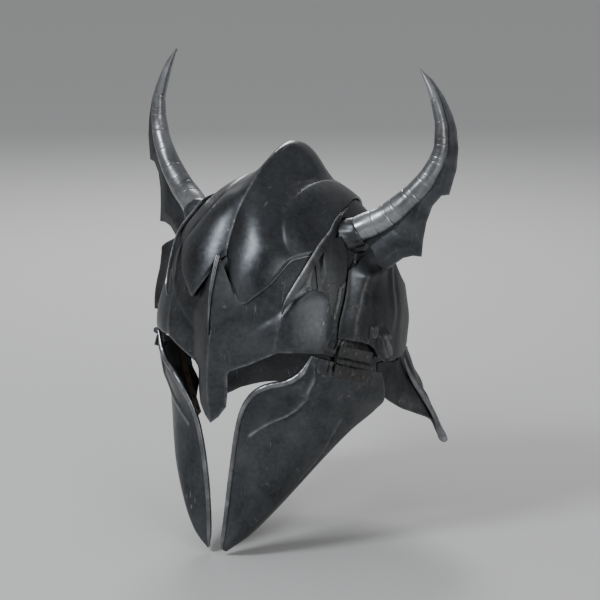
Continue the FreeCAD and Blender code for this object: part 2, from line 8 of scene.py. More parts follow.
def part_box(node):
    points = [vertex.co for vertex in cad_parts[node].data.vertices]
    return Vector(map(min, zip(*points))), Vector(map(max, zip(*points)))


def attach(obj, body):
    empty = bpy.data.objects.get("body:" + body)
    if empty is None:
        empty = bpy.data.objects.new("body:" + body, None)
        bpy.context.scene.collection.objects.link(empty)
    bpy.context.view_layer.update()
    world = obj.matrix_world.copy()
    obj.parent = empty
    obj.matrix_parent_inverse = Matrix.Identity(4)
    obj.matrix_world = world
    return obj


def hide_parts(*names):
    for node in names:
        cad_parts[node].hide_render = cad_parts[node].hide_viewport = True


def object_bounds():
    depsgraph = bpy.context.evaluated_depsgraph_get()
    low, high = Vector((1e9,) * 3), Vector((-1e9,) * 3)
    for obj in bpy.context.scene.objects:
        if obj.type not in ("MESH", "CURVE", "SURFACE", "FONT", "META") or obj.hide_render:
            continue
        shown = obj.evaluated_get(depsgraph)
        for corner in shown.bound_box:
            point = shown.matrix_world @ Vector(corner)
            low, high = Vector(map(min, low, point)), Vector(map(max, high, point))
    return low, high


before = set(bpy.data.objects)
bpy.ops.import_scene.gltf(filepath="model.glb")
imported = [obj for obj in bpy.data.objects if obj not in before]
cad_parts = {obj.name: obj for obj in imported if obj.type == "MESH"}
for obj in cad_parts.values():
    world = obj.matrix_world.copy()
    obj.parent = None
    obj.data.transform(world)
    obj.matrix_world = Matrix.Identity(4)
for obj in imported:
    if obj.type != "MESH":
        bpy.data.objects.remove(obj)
cad_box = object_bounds()
MM = 0.001

# ------------------------------ camera
AZ, EL = math.radians(35.0), math.radians(12.7)
LENS = 144.0
CAMERA_PLACE = (1.1979, -1.6799, 0.5058)
back = Vector((math.sin(AZ) * math.cos(EL), -math.cos(AZ) * math.cos(EL), math.sin(EL)))
cam = bpy.data.objects.new("camera", bpy.data.cameras.new("camera"))
bpy.context.scene.collection.objects.link(cam)
cam.data.lens = LENS
cam.data.clip_start, cam.data.clip_end = 0.1, 60.0
cam.location = CAMERA_PLACE
cam.rotation_mode = "QUATERNION"
cam.rotation_quaternion = (-back).to_track_quat("-Z", "Y")
bpy.context.scene.camera = cam

# ------------------------------ the dome everything follows
_, skull_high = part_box("skull_shell")
PLATE_GAP = 3.0
FACE_SHORTER = 5.0
CENTRE_Y, CENTRE_Z = 9.0, 30.0
HALF_WIDTH = skull_high.x / MM + PLATE_GAP
REAR = skull_high.y / MM + PLATE_GAP - CENTRE_Y
CROWN = skull_high.z / MM + PLATE_GAP - CENTRE_Z
FRONT = HALF_WIDTH - FACE_SHORTER
MIDLINE = np.array([0, CENTRE_Y, 0])
SHARP_ANGLE, BEVEL_ANGLE = 38, 50


def curve(rows):
    """Smooth monotone curve through rows of (x, value, ...), for arrays."""
    xs = np.array([r[0] for r in rows], float)
    ys = np.array([r[1:] for r in rows], float)
    gaps = np.diff(ys, axis=0) / np.diff(xs)[:, None]
    slope = np.vstack([gaps[:1], np.zeros_like(gaps[1:]), gaps[-1:]])
    for k in range(1, len(xs) - 1):
        a, b = gaps[k - 1], gaps[k]
        slope[k] = np.where(a * b > 0, 2 * a * b / np.where(a + b == 0, 1, a + b), 0)
    fine = np.linspace(xs[0], xs[-1], 600)
    k = np.clip(np.searchsorted(xs, fine, "right") - 1, 0, len(xs) - 2)
    h = (xs[k + 1] - xs[k])[:, None]
    t = (fine - xs[k])[:, None] / h
    values = (ys[k] * (1 + 2 * t) * (1 - t) ** 2 + h * slope[k] * t * (1 - t) ** 2
              + ys[k + 1] * t * t * (3 - 2 * t) + h * slope[k + 1] * t * t * (t - 1))
    columns = values.shape[1]

    def at(x):
        x = np.asarray(x, float)
        out = [np.interp(x, fine, values[:, c]) for c in range(columns)]
        return out[0] if columns == 1 else np.stack(out, -1)

    return at


def ease(t):
    t = np.clip(t, 0.0, 1.0)
    return t * t * (3 - 2 * t)


def dome(phi, z, d):
    """Points at bearing phi (degrees from the face, left positive) and height z, offset d."""
    a = np.radians(phi)
    b = np.where(np.cos(a) > 0, FRONT, REAR) + d
    s = np.where(z > CENTRE_Z, np.sqrt(np.clip(1 - ((z - CENTRE_Z) / (CROWN + d)) ** 2, 0, 1)), 1.0)
    r = s / np.sqrt((np.sin(a) / (HALF_WIDTH + d)) ** 2 + (np.cos(a) / b) ** 2)
    z = z + 0 * r
    return np.stack([r * np.sin(a), CENTRE_Y - r * np.cos(a), z], -1)


def over(x, psi, d):
    """Points at side distance x and angle psi up from the face over the top, offset d."""
    a = np.radians(psi)
    b = np.where(np.cos(a) > 0, FRONT, REAR) + d
    k = np.sqrt(np.clip(1 - (x / (HALF_WIDTH + d)) ** 2, 0, 1))
    return np.stack([x + 0 * k, CENTRE_Y - b * k * np.cos(a), CENTRE_Z + (CROWN + d) * k * np.sin(a)], -1)


def lattice(nu, nv):
    """u and v, each from 0 to 1, as two arrays."""
    return np.meshgrid(np.linspace(0, 1, nu), np.linspace(0, 1, nv), indexing="ij")


def near_line(px, py, line, closed=False):
    """Distance from points to a polyline, and how far along it the nearest point is."""
    best, along = np.full(np.shape(px), 1e9), np.zeros(np.shape(px))
    total = 0.0
    ends = list(zip(line, line[1:] + (line[:1] if closed else [])))
    for (x0, y0), (x1, y1) in ends:
        length = math.hypot(x1 - x0, y1 - y0)
        t = np.clip(((px - x0) * (x1 - x0) + (py - y0) * (y1 - y0)) / max(length ** 2, 1e-9), 0, 1)
        d = np.hypot(px - x0 - t * (x1 - x0), py - y0 - t * (y1 - y0))
        along = np.where(d < best, total + t * length, along)
        best = np.minimum(best, d)
        total += length
    return best, along / total


# ------------------------------ meshes
def make_object(name, verts, faces, wear_and_highlight=None, mirror=False):
    verts = np.asarray(verts, float).reshape(-1, 3) * MM
    if mirror:
        verts = verts * [-1, 1, 1]
        faces = [f[::-1] for f in faces]
    mesh = bpy.data.meshes.new(name)
    mesh.from_pydata(verts.tolist(), [], [list(map(int, f)) for f in faces])
    mesh.validate()
    mesh.polygons.foreach_set("use_smooth", [True] * len(mesh.polygons))
    if wear_and_highlight is not None:
        layer = mesh.attributes.new("wear_and_highlight", "FLOAT", "POINT")
        layer.data.foreach_set("value", np.clip(np.asarray(wear_and_highlight, float).ravel(), 0, 1))
    obj = bpy.data.objects.new(name, mesh)
    bpy.context.scene.collection.objects.link(obj)
    mesh.set_sharp_from_angle(angle=math.radians(SHARP_ANGLE))
    return obj


def soften_edges(obj, width, segments=2):
    bevel = obj.modifiers.new("edges", "BEVEL")
    bevel.width = width * MM
    bevel.segments = segments
    bevel.limit_method = "ANGLE"
    bevel.angle_limit = math.radians(BEVEL_ANGLE)
    bevel.harden_normals = False
    return obj


# Middle and half size of the two cracked patches on the left side.
EYE_PATCH = np.array([100, -38, 8]), np.array([40, 44, 44])
TEMPLE_PATCH = np.array([97, -42, 62]), np.array([30, 26, 40])


def mark_cracked(obj, mirror):
    """Marks how cracked the old surface is: most near the eye corner and the hinge."""
    co = np.empty(len(obj.data.vertices) * 3, np.float32)
    obj.data.vertices.foreach_get("co", co)
    co = co.reshape(-1, 3) / MM * [-1 if mirror else 1, 1, 1]
    far = np.linalg.norm((co - EYE_PATCH[0]) / EYE_PATCH[1], axis=1)
    upper = np.linalg.norm((co - TEMPLE_PATCH[0]) / TEMPLE_PATCH[1], axis=1)
    amount = np.maximum(ease((1.1 - far) / 0.5), 0.75 * ease((1.0 - upper) / 0.5))
    layer = obj.data.attributes.new("cracked", "FLOAT", "POINT")
    layer.data.foreach_set("value", amount.astype(np.float32))
    return obj


def finish_piece(obj, body, slot, material, *nodes):
    obj.data.materials.clear()
    obj.data.materials.append(material)
    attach(obj, body)
    if nodes:
        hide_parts(*nodes)
    return obj


def grid_normals(points):
    du = np.gradient(points, axis=0)
    dv = np.gradient(points, axis=1)
    n = np.cross(du, dv)
    return n / np.maximum(np.linalg.norm(n, axis=-1, keepdims=True), 1e-9)


def grid_plate(name, points, thick, wear_and_highlight=None, mirror=False, centre=MIDLINE):
    """A closed sheet under a grid of outer points."""
    n = grid_normals(points)
    if np.mean(np.sum(n * (points - np.array(centre)), -1)) < 0:
        points = points[::-1]
        wear_and_highlight = None if wear_and_highlight is None else wear_and_highlight[::-1]
        n = grid_normals(points)
    nu, nv = points.shape[:2]
    thick = np.broadcast_to(np.asarray(thick, float), (nu, nv))
    inner = points - n * thick[..., None]
    index = np.arange(nu * nv).reshape(nu, nv)
    q = np.stack([index[:-1, :-1], index[1:, :-1], index[1:, 1:], index[:-1, 1:]], -1).reshape(-1, 4)
    faces = q.tolist() + (q[:, ::-1] + nu * nv).tolist()
    loop = np.concatenate([index[:-1, 0], index[-1, :-1], index[1:, -1][::-1], index[0, 1:][::-1]])
    nxt = np.roll(loop, -1)
    faces += np.stack([loop, loop + nu * nv, nxt + nu * nv, nxt], -1).tolist()
    if wear_and_highlight is not None:
        wear_and_highlight = np.concatenate([wear_and_highlight.ravel(), wear_and_highlight.ravel() * 0.5])
    return make_object(name, np.concatenate([points.reshape(-1, 3), inner.reshape(-1, 3)]),
                       faces, wear_and_highlight, mirror)


def even(line, step):
    """A closed outline divided into about equal steps."""
    out = []
    for (x0, y0), (x1, y1) in zip(line, line[1:] + line[:1]):
        n = max(1, round(math.hypot(x1 - x0, y1 - y0) / step))
        out += [(x0 + (x1 - x0) * k / n, y0 + (y1 - y0) * k / n) for k in range(n)]
    return out


def blank(outline, step):
    """Points and triangles that fill an outline, and the number of points on its border."""
    border = even(outline, step)
    xs, ys = np.array(border).T
    gx, gy = np.meshgrid(np.arange(xs.min(), xs.max(), step), np.arange(ys.min(), ys.max(), step))
    gx, gy = gx.ravel(), gy.ravel()
    inside = np.zeros(gx.shape, bool)
    for (x0, y0), (x1, y1) in zip(border, border[1:] + border[:1]):
        if y0 != y1:
            crossing = ((y0 > gy) != (y1 > gy)) & (gx < (x1 - x0) * (gy - y0) / (y1 - y0) + x0)
            inside ^= crossing
    far, _ = near_line(gx, gy, border, closed=True)
    keep = inside & (far > step * 0.62)
    points = [Vector(p) for p in border] + [Vector(p) for p in zip(gx[keep], gy[keep])]
    verts, _, faces, *_ = delaunay_2d_cdt(points, [], [list(range(len(border)))], 1, 1e-5)
    return np.array([tuple(v) for v in verts]), [list(f) for f in faces], len(border)


def sheet_from(name, faces, outer, thick, wear_and_highlight=None, mirror=False, toward=None):
    """A closed sheet: triangles over outer points, an inner copy, and a wall round the border."""
    outer = np.asarray(outer, float)
    tri = np.array(faces)
    fn = np.cross(outer[tri[:, 1]] - outer[tri[:, 0]], outer[tri[:, 2]] - outer[tri[:, 0]])
    n = np.zeros_like(outer)
    for k in range(3):
        np.add.at(n, tri[:, k], fn)
    n /= np.maximum(np.linalg.norm(n, axis=1, keepdims=True), 1e-12)
    toward = outer - MIDLINE if toward is None else np.broadcast_to(toward, outer.shape)
    if np.sum(n * toward) < 0:
        tri, n = tri[:, ::-1], -n
    count = len(outer)
    inner = outer - n * np.broadcast_to(np.asarray(thick, float), (count,))[:, None]
    edges = {}
    for f in tri.tolist():
        for a, b in zip(f, f[1:] + f[:1]):
            edges[(a, b)] = 1
    rim = [e for e in edges if (e[1], e[0]) not in edges]
    solid = tri.tolist() + (tri[:, ::-1] + count).tolist()
    solid += [[b, a, a + count, b + count] for a, b in rim]
    if wear_and_highlight is not None:
        wear_and_highlight = np.concatenate([wear_and_highlight, wear_and_highlight * 0.5])
    return make_object(name, np.concatenate([outer, inner]), solid, wear_and_highlight, mirror)


def tube(name, centre, radii, around=32, wear_and_highlight=None, mirror=False, flat=1.0, profile=None, side=None):
    """A bar along centre points, closed at both ends."""
    centre = np.asarray(centre, float)
    tangent = np.gradient(centre, axis=0)
    tangent /= np.linalg.norm(tangent, axis=1, keepdims=True)
    side = np.array([0, -1.0, 0]) if side is None else np.asarray(side, float)
    a = side - tangent * (tangent @ side)[:, None] if side.ndim == 1 else side
    a /= np.linalg.norm(a, axis=1, keepdims=True)
    b = np.cross(tangent, a)
    ang = np.linspace(0, 2 * math.pi, around, endpoint=False)
    radii = np.asarray(radii, float).reshape(len(centre), -1)
    shape = np.ones(around) if profile is None else profile(ang)
    ring = (np.cos(ang) * shape)[None, :, None] * a[:, None] * flat
    ring = ring + (np.sin(ang) * shape)[None, :, None] * b[:, None]
    points = centre[:, None] + ring * radii[..., None]
    n = len(centre)
    index = np.arange(n * around).reshape(n, around)
    nxt = np.roll(index, -1, axis=1)
    faces = np.stack([index[:-1], nxt[:-1], nxt[1:], index[1:]], -1).reshape(-1, 4).tolist()
    verts = np.concatenate([points.reshape(-1, 3), centre[:1], centre[-1:]])
    faces += [[int(nxt[0, k]), int(index[0, k]), n * around] for k in range(around)]
    faces += [[int(index[-1, k]), int(nxt[-1, k]), n * around + 1] for k in range(around)]
    if wear_and_highlight is not None:
        wear_and_highlight = np.broadcast_to(np.asarray(wear_and_highlight, float).reshape(n, -1), (n, around))
        wear_and_highlight = np.concatenate([wear_and_highlight.ravel(), [0, 0]])
    return make_object(name, verts, faces, wear_and_highlight, mirror)


# ------------------------------ materials
def ramp(tree, source, stops):
    node = tree.nodes.new("ShaderNodeValToRGB")
    elements = node.color_ramp.elements
    while len(elements) < len(stops):
        elements.new(0.5)
    for element, (place, colour) in zip(elements, stops):
        element.position = place
        element.color = (*colour, 1) if len(colour) == 3 else colour
    tree.links.new(source, node.inputs[0])
    return node.outputs[0]


def grey(v):
    return (v, v, v)


def noise(tree, coords, scale, detail=4.0, rough=0.6, distortion=0.0):
    node = tree.nodes.new("ShaderNodeTexNoise")
    node.inputs["Scale"].default_value = scale
    node.inputs["Detail"].default_value = detail
    node.inputs["Roughness"].default_value = rough
    node.inputs["Distortion"].default_value = distortion
    tree.links.new(coords, node.inputs["Vector"])
    return node.outputs[0]


def stretched(tree, coords, turn, scale):
    node = tree.nodes.new("ShaderNodeMapping")
    node.inputs["Rotation"].default_value = turn
    node.inputs["Scale"].default_value = scale
    tree.links.new(coords, node.inputs["Vector"])
    return node.outputs[0]


def math_node(tree, op, a, b, clamp=False):
    node = tree.nodes.new("ShaderNodeMath")
    node.operation = op
    node.use_clamp = clamp
    for socket, value in zip(node.inputs, (a, b)):
        if isinstance(value, (int, float)):
            socket.default_value = value
        else:
            tree.links.new(value, socket)
    return node.outputs[0]


def blend_colour(tree, factor, a, b):
    node = tree.nodes.new("ShaderNodeMix")
    node.data_type = "RGBA"
    tree.links.new(factor, node.inputs["Factor"])
    for key, value in (("A", a), ("B", b)):
        socket = [s for s in node.inputs if s.name == key and s.type == "RGBA"][0]
        if isinstance(value, tuple):
            socket.default_value = (*value, 1)
        else:
            tree.links.new(value, socket)
    return [s for s in node.outputs if s.type == "RGBA"][0]


def metal(name, dark, light, bright, roughness, scratches=1.0, rust=0.0, edge=1.0, dents=1.0, pits=1.0):
    """Worn steel: mottled tone, fine scratches, and rubbed edges plus painted highlight lines where the
    wear_and_highlight attribute is high.
    """
    mat = bpy.data.materials.new(name)
    mat.use_nodes = True
    tree = mat.node_tree
    shader = tree.nodes["Principled BSDF"]
    shader.inputs["Metallic"].default_value = 1.0
    shader.inputs["Specular IOR Level"].default_value = 0.5
    coords = tree.nodes.new("ShaderNodeTexCoord").outputs["Object"]
    broad = noise(tree, coords, 22, 5, 0.62, 0.4)
    fine = noise(tree, coords, 260, 3, 0.6)
    tone = math_node(tree, "ADD", math_node(tree, "MULTIPLY", broad, 0.72),
                     math_node(tree, "MULTIPLY", fine, 0.28))
    base = ramp(tree, tone, [(0.36, dark), (0.62, light)])
    lines = []
    for turn, scale in (((0.3, 0.5, 0.9), (420, 9, 40)), ((1.1, -0.4, -0.5), (500, 12, 30)),
                        ((-0.7, 0.9, 0.2), (360, 8, 55))):
        fibres = noise(tree, stretched(tree, coords, turn, scale), 1.0, 2, 0.5, 0.6)
        lines.append(ramp(tree, fibres, [(0.70, grey(0)), (0.745, grey(1))]))
    patch = ramp(tree, noise(tree, coords, 60, 3, 0.6), [(0.5, grey(0)), (0.62, grey(1))])
    scratch = math_node(tree, "MAXIMUM", math_node(tree, "MAXIMUM", lines[0], lines[1]), lines[2])
    scratch = math_node(tree, "MULTIPLY", math_node(tree, "MULTIPLY", scratch, patch), 0.55 * scratches)
    wear_and_highlight = tree.nodes.new("ShaderNodeAttribute")
    wear_and_highlight.attribute_name = "wear_and_highlight"
    broken = ramp(tree, noise(tree, coords, 140, 4, 0.65), [(0.38, grey(0.28)), (0.60, grey(1))])
    # The attribute holds real edge wear and also painted highlight lines; both lighten the colour here.
    rubbed = math_node(tree, "MULTIPLY", math_node(tree, "MULTIPLY", wear_and_highlight.outputs["Fac"], broken), edge)
    specks = ramp(tree, noise(tree, coords, 190, 2, 0.5), [(0.72, grey(0)), (0.76, grey(0.8))])
    specks = math_node(tree, "MULTIPLY", specks, 0.28 * scratches)
    lit = math_node(tree, "MAXIMUM", math_node(tree, "MAXIMUM", scratch, rubbed), specks, True)
    colour = blend_colour(tree, lit, base, bright)
    rough = tree.nodes.new("ShaderNodeAttribute")
    rough.attribute_name = "cracked"
    cells = tree.nodes.new("ShaderNodeTexVoronoi")
    cells.feature = "DISTANCE_TO_EDGE"
    cells.inputs["Scale"].default_value = 70
    warp = tree.nodes.new("ShaderNodeVectorMath")
    warp.operation = "MULTIPLY_ADD"
    cloud = tree.nodes.new("ShaderNodeTexNoise")
    cloud.inputs["Scale"].default_value = 90
    cloud.inputs["Detail"].default_value = 4
    tree.links.new(coords, cloud.inputs["Vector"])
    tree.links.new(cloud.outputs["Color"], warp.inputs[0])
    warp.inputs[1].default_value = (0.022, 0.022, 0.022)
    tree.links.new(coords, warp.inputs[2])
    tree.links.new(warp.outputs[0], cells.inputs["Vector"])
    crack = ramp(tree, cells.outputs["Distance"], [(0.0, grey(1)), (0.045, grey(0))])
    crack = math_node(tree, "MULTIPLY", crack, patch)
    crack = math_node(tree, "MULTIPLY", crack, rough.outputs["Fac"], True)
    colour = blend_colour(tree, math_node(tree, "MULTIPLY", crack, 0.6), colour, (0.24, 0.205, 0.17))
    if rust > 0:
        spots = ramp(tree, noise(tree, coords, 150, 5, 0.7), [(0.52, grey(0)), (0.66, grey(rust))])
        colour = blend_colour(tree, spots, colour, (0.13, 0.062, 0.03))
    tree.links.new(colour, shader.inputs["Base Color"])
    gloss = ramp(tree, broad, [(0.3, grey(roughness - 0.07)), (0.7, grey(roughness + 0.1))])
    gloss = math_node(tree, "SUBTRACT", gloss, math_node(tree, "MULTIPLY", lit, 0.12), True)
    tree.links.new(gloss, shader.inputs["Roughness"])
    hollows = noise(tree, coords, 34, 3, 0.5)
    height = math_node(tree, "ADD", math_node(tree, "MULTIPLY", hollows, 1.0 * dents),
                       math_node(tree, "MULTIPLY", fine, 0.10 * pits))
    height = math_node(tree, "SUBTRACT", height, math_node(tree, "MULTIPLY", scratch, 0.10))
    height = math_node(tree, "SUBTRACT", height, math_node(tree, "MULTIPLY", crack, 0.7))
    bump = tree.nodes.new("ShaderNodeBump")
    bump.inputs["Strength"].default_value = 0.48
    bump.inputs["Distance"].default_value = 0.0011
    tree.links.new(height, bump.inputs["Height"])
    tree.links.new(bump.outputs[0], shader.inputs["Normal"])
    return mat


def soft(name, dark, light, roughness, weave, sheen=0.0, grain=0.0):
    """Cloth (weave > 0) or leather (grain > 0)."""
    mat = bpy.data.materials.new(name)
    mat.use_nodes = True
    tree = mat.node_tree
    shader = tree.nodes["Principled BSDF"]
    shader.inputs["Roughness"].default_value = roughness
    shader.inputs["Sheen Weight"].default_value = sheen
    coords = tree.nodes.new("ShaderNodeTexCoord").outputs["Object"]
    patchy = noise(tree, coords, 30, 5, 0.65)
    tree.links.new(ramp(tree, patchy, [(0.35, dark), (0.68, light)]), shader.inputs["Base Color"])
    if weave:
        waves = []
        for axis in ("X", "Y", "Z"):
            wave = tree.nodes.new("ShaderNodeTexWave")
            wave.bands_direction = axis
            wave.inputs["Scale"].default_value = weave
            wave.inputs["Distortion"].default_value = 0.6
            tree.links.new(coords, wave.inputs["Vector"])
            waves.append(wave.outputs["Fac"])
        height = math_node(tree, "ADD", math_node(tree, "ADD", waves[0], waves[1]), waves[2])
    else:
        cells = tree.nodes.new("ShaderNodeTexVoronoi")
        cells.inputs["Scale"].default_value = grain
        tree.links.new(coords, cells.inputs["Vector"])
        height = math_node(tree, "ADD", cells.outputs["Distance"], patchy)
    bump = tree.nodes.new("ShaderNodeBump")
    bump.inputs["Strength"].default_value = 0.5
    bump.inputs["Distance"].default_value = 0.0005
    tree.links.new(height, bump.inputs["Height"])
    tree.links.new(bump.outputs[0], shader.inputs["Normal"])
    return mat


DARK = metal("blackened_steel", (0.046, 0.049, 0.053), (0.100, 0.106, 0.113),
             (0.36, 0.37, 0.39), 0.37, edge=0.75)
# Steel for the bands, with a much brighter top colour for the painted highlight along their upper edge.
BANDS = metal("band_steel_painted_highlight", (0.048, 0.051, 0.055), (0.105, 0.110, 0.117),
              (0.60, 0.61, 0.63), 0.33, edge=1.5)
SIDE = metal("dull_steel", (0.038, 0.041, 0.043), (0.080, 0.084, 0.087),
             (0.30, 0.31, 0.32), 0.44, edge=0.7)
EDGE = metal("rubbed_steel", (0.075, 0.080, 0.085), (0.16, 0.165, 0.172),
             (0.42, 0.43, 0.45), 0.36, dents=0.5)
HORN = metal("horn_steel", (0.13, 0.135, 0.142), (0.30, 0.31, 0.325),
             (0.62, 0.63, 0.65), 0.31, dents=0.6)
IRON = metal("hinge_iron", (0.040, 0.041, 0.042), (0.090, 0.091, 0.092),
             (0.30, 0.30, 0.30), 0.46, rust=0.3)
RIVET = metal("fastener_steel", (0.06, 0.061, 0.064), (0.13, 0.132, 0.138),
              (0.45, 0.45, 0.46), 0.38, rust=0.15)
CLOTH = soft("quilted_cloth", (0.028, 0.025, 0.023), (0.062, 0.055, 0.049), 0.9, 1400, sheen=0.25)
HIDE = soft("worn_leather", (0.022, 0.014, 0.009), (0.060, 0.036, 0.022), 0.55, 0, grain=420)

# ------------------------------ crown plate
BORDER = [(0, 31), (3, 29.5), (11.7, 21.5), (19.4, 16.3), (27, 12.8), (37, 16.8), (46.8, 22.6),
          (52.8, 29), (57.2, 34.8), (63.7, 38.8), (70, 43)]
border_psi = curve(BORDER)
side_x = curve([(38, 70.0), (57, 71.5), (66, 70.5), (77, 68.4), (92, 64.6), (105, 58),
                (120, 48), (138, 34)])
keel = curve([(12, -1.5), (31, -0.6), (42, 1.8), (50, 4.2), (59, 7.0), (69, 11.4), (75, 14.8), (82, 17.4),
              (88, 20.8), (96, 23.8), (100, 23.4), (105, 21.4), (110, 18.2), (115, 14.4), (120, 10.8),
              (130, 5.6), (140, 1.6)])
crest_half = curve([(60, 33), (69, 31), (80, 27), (86, 27), (90, 30), (95, 34), (100, 33), (105, 30),
                    (110, 28), (116, 26), (140, 24)])
crest_power = curve([(60, 1.3), (69, 1.8), (76, 2.0), (80, 1.7), (85, 1.35), (90, 1.15), (95, 0.9),
                     (100, 0.9), (105, 1.1), (110, 1.4), (115, 1.7), (140, 1.5)])
lobe_half = curve([(12, 30), (20, 43), (30, 53), (35, 56), (43, 46), (54, 36.5), (66, 33)])
lobe_bulge = curve([(12, 3.2), (22, 5.0), (32, 6.0), (45, 5.4), (56, 3.6), (68, 0.6), (74, 0)])
BACK_END = 140.0


def crown_base(psi):
    """The plate lies over the brow plate in front, and close to the skull above it."""
    return 2.8 * (1 - ease((psi - 42) / 22)) + 0.1


def crown_offset(x, psi):
    side, base = np.abs(x), crown_base(psi)
    rise = keel(psi) - base
    blunt = 0.02 + 0.25 * ease((psi - 80) / 14)
    t = (np.hypot(side / crest_half(psi), blunt) - blunt) / (np.hypot(1, blunt) - blunt)
    crest = rise * np.clip(1 - t, 0, 1) ** crest_power(psi)
    t = np.clip(side / lobe_half(psi), 0, 1)
    lobe = rise * (1 - t) ** 1.15 + lobe_bulge(psi) * 4 * t * (1 - t)
    mix = ease((psi - 56) / 12)
    d = base + crest * mix + lobe * (1 - mix)
    along = ease((psi - 36) / 14) * ease((112 - psi) / 16)
    crease = np.exp(-((side - lobe_half(psi) - 1.0) / 2.2) ** 2) * along
    return d - 1.2 * crease


def crown_piece():
    u, v = lattice(171, 181)
    spread = 2 * u - 1
    v = v ** 1.15
    low = border_psi(np.abs(spread) * 70)
    psi = low + (BACK_END - 6 * spread ** 2 - low) * v
    x = spread * side_x(psi)
    d = crown_offset(x, psi)
    from_border = (psi - low) * 2.0
    d = d - 1.6 * np.exp(-(from_border / 2.6) ** 2)
    wear_and_highlight = 0.35 * np.exp(-(from_border / 1.5) ** 2)
    # A bright line down the keel: a painted highlight, weaker towards the back.
    ridge = np.exp(-(x / 1.1) ** 2) * ease((psi - 28) / 4) * (1.0 - 0.45 * ease((psi - 66) / 40))
    wear_and_highlight = np.maximum(wear_and_highlight, ridge)
    lobe_side = np.exp(-((np.abs(x) - lobe_half(psi)) / 2.0) ** 2) * ease((psi - 52) / 8)
    wear_and_highlight = np.maximum(wear_and_highlight, 0.3 * lobe_side)
    obj = grid_plate("crown", over(x, psi, d), 1.8, wear_and_highlight)
    return soften_edges(obj, 0.5)


finish_piece(crown_piece(), "helmet", "dark_steel", DARK, "crown_plate")

# Raised band beside the crown plate, with a sharp upper edge.
BAND = curve([(0.0, 60.6, 10.5), (0.14, 64.0, 17), (0.28, 67.6, 24.5), (0.42, 71.4, 34),
              (0.56, 74.2, 45.5),
              (0.70, 74.8, 58.5), (0.85, 72.6, 70.5), (1.0, 68.8, 88)])


def band_piece(name, mirror):
    u, v = lattice(15, 220)
    centre = BAND(v)
    half = 2.7 * ease(np.minimum(v * 5, (1 - v) * 4) * 0.9 + 0.1)
    across = 2 * u - 1
    base = crown_base(centre[..., 1])
    lift = base + 1.4 + 2.4 * ease((0.42 - v) / 0.4)
    peak = np.where(across < -0.35, (across + 1) / 0.65, 1 - 0.78 * (across + 0.35) / 1.35)
    d = lift + (2.9 * peak - 0.5) * ease(np.minimum(v, 1 - v) * 7)
    x = centre[..., 0] + across * half
    # The bright line along the band's sharp upper edge is a painted highlight, strongest along the middle
    # stretch.
    rubbed = 0.5 + 0.7 * ease((v - 0.1) / 0.3) * ease((0.95 - v) / 0.2)
    wear_and_highlight = np.exp(-((across + 0.35) / 0.26) ** 2) * rubbed
    obj = grid_plate(name, over(x, centre[..., 1], d), 1.7, wear_and_highlight, mirror)
    return soften_edges(obj, 0.3)


# ------------------------------ brow plate
ridge_rise = curve([(-48, 8.3), (-11, 12.0), (39, 8.8), (60, 8.8), (97, 7.4)])
ridge_half = curve([(-48, 25.0), (40, 25.0), (60, 19.0), (97, 9.0)])
ARC = [(59, 56), (62, 60), (68.5, 65), (73, 69.5), (78, 71), (83.5, 68), (87, 60.5)]
SIDE_FOLD = [(62.5, 61), (59, 54), (57.2, 47.8), (55, 35.5), (52.5, 19)]
SLANT = [(20, 26), (24, 28.8), (35.8, 36.5), (44.5, 44), (57, 52)]
CREASE = [(57, 53), (61.5, 58.2), (65, 67), (67.8, 76), (68.5, 85), (69, 95)]


def brow_offset(x, z):
    side = np.abs(x)
    prow = ridge_rise(z) * np.clip(1 - side / ridge_half(z), 0, None)
    flare = 5.4 * ease((side - 22) / 34) * (1 - ease((z - 22) / 42))
    swell = 1.8 * ease((side - 54) / 12) * (1 - ease((z - 60) / 12)) * (1 - ease((side - 82) / 12))
    far, along = near_line(side, z, SIDE_FOLD)
    ridge = 0.7 * np.exp(-(far / 2.4) ** 2) * ease(along * 3)
    far, along = near_line(side, z, ARC)
    groove = 1.7 * np.exp(-(far / 2.0) ** 2) * ease(along * 4) * ease((1 - along) * 4)
    far, along = near_line(side, z, SLANT)
    groove = groove + 0.8 * np.exp(-(far / 3.4) ** 2) * ease(along * 3) * ease((1 - along) * 4)
    far, along = near_line(side, z, CREASE)
    groove = groove + 0.9 * np.exp(-(far / 3.0) ** 2) * (1 - 0.7 * along)
    return 0.2 + prow + flare + swell + ridge - groove


BROW = [(0, -48), (7, -42), (13.4, -32.5), (14.8, -20), (14.8, -4), (16.5, -1.2), (31.8, 5), (55.5, 18.2),
        (70, 18.6), (83.5, 17.2), (88, 30), (90.6, 51), (89.5, 60.5), (84.2, 68), (77.5, 71.5),
        (73.5, 74), (73, 86), (70, 97), (64, 101), (55, 100), (49, 90), (44, 81), (36, 74),
        (27, 69), (22, 73), (18, 65.4), (11, 75.2), (6, 84.6), (2.4, 91), (0, 96.5)]


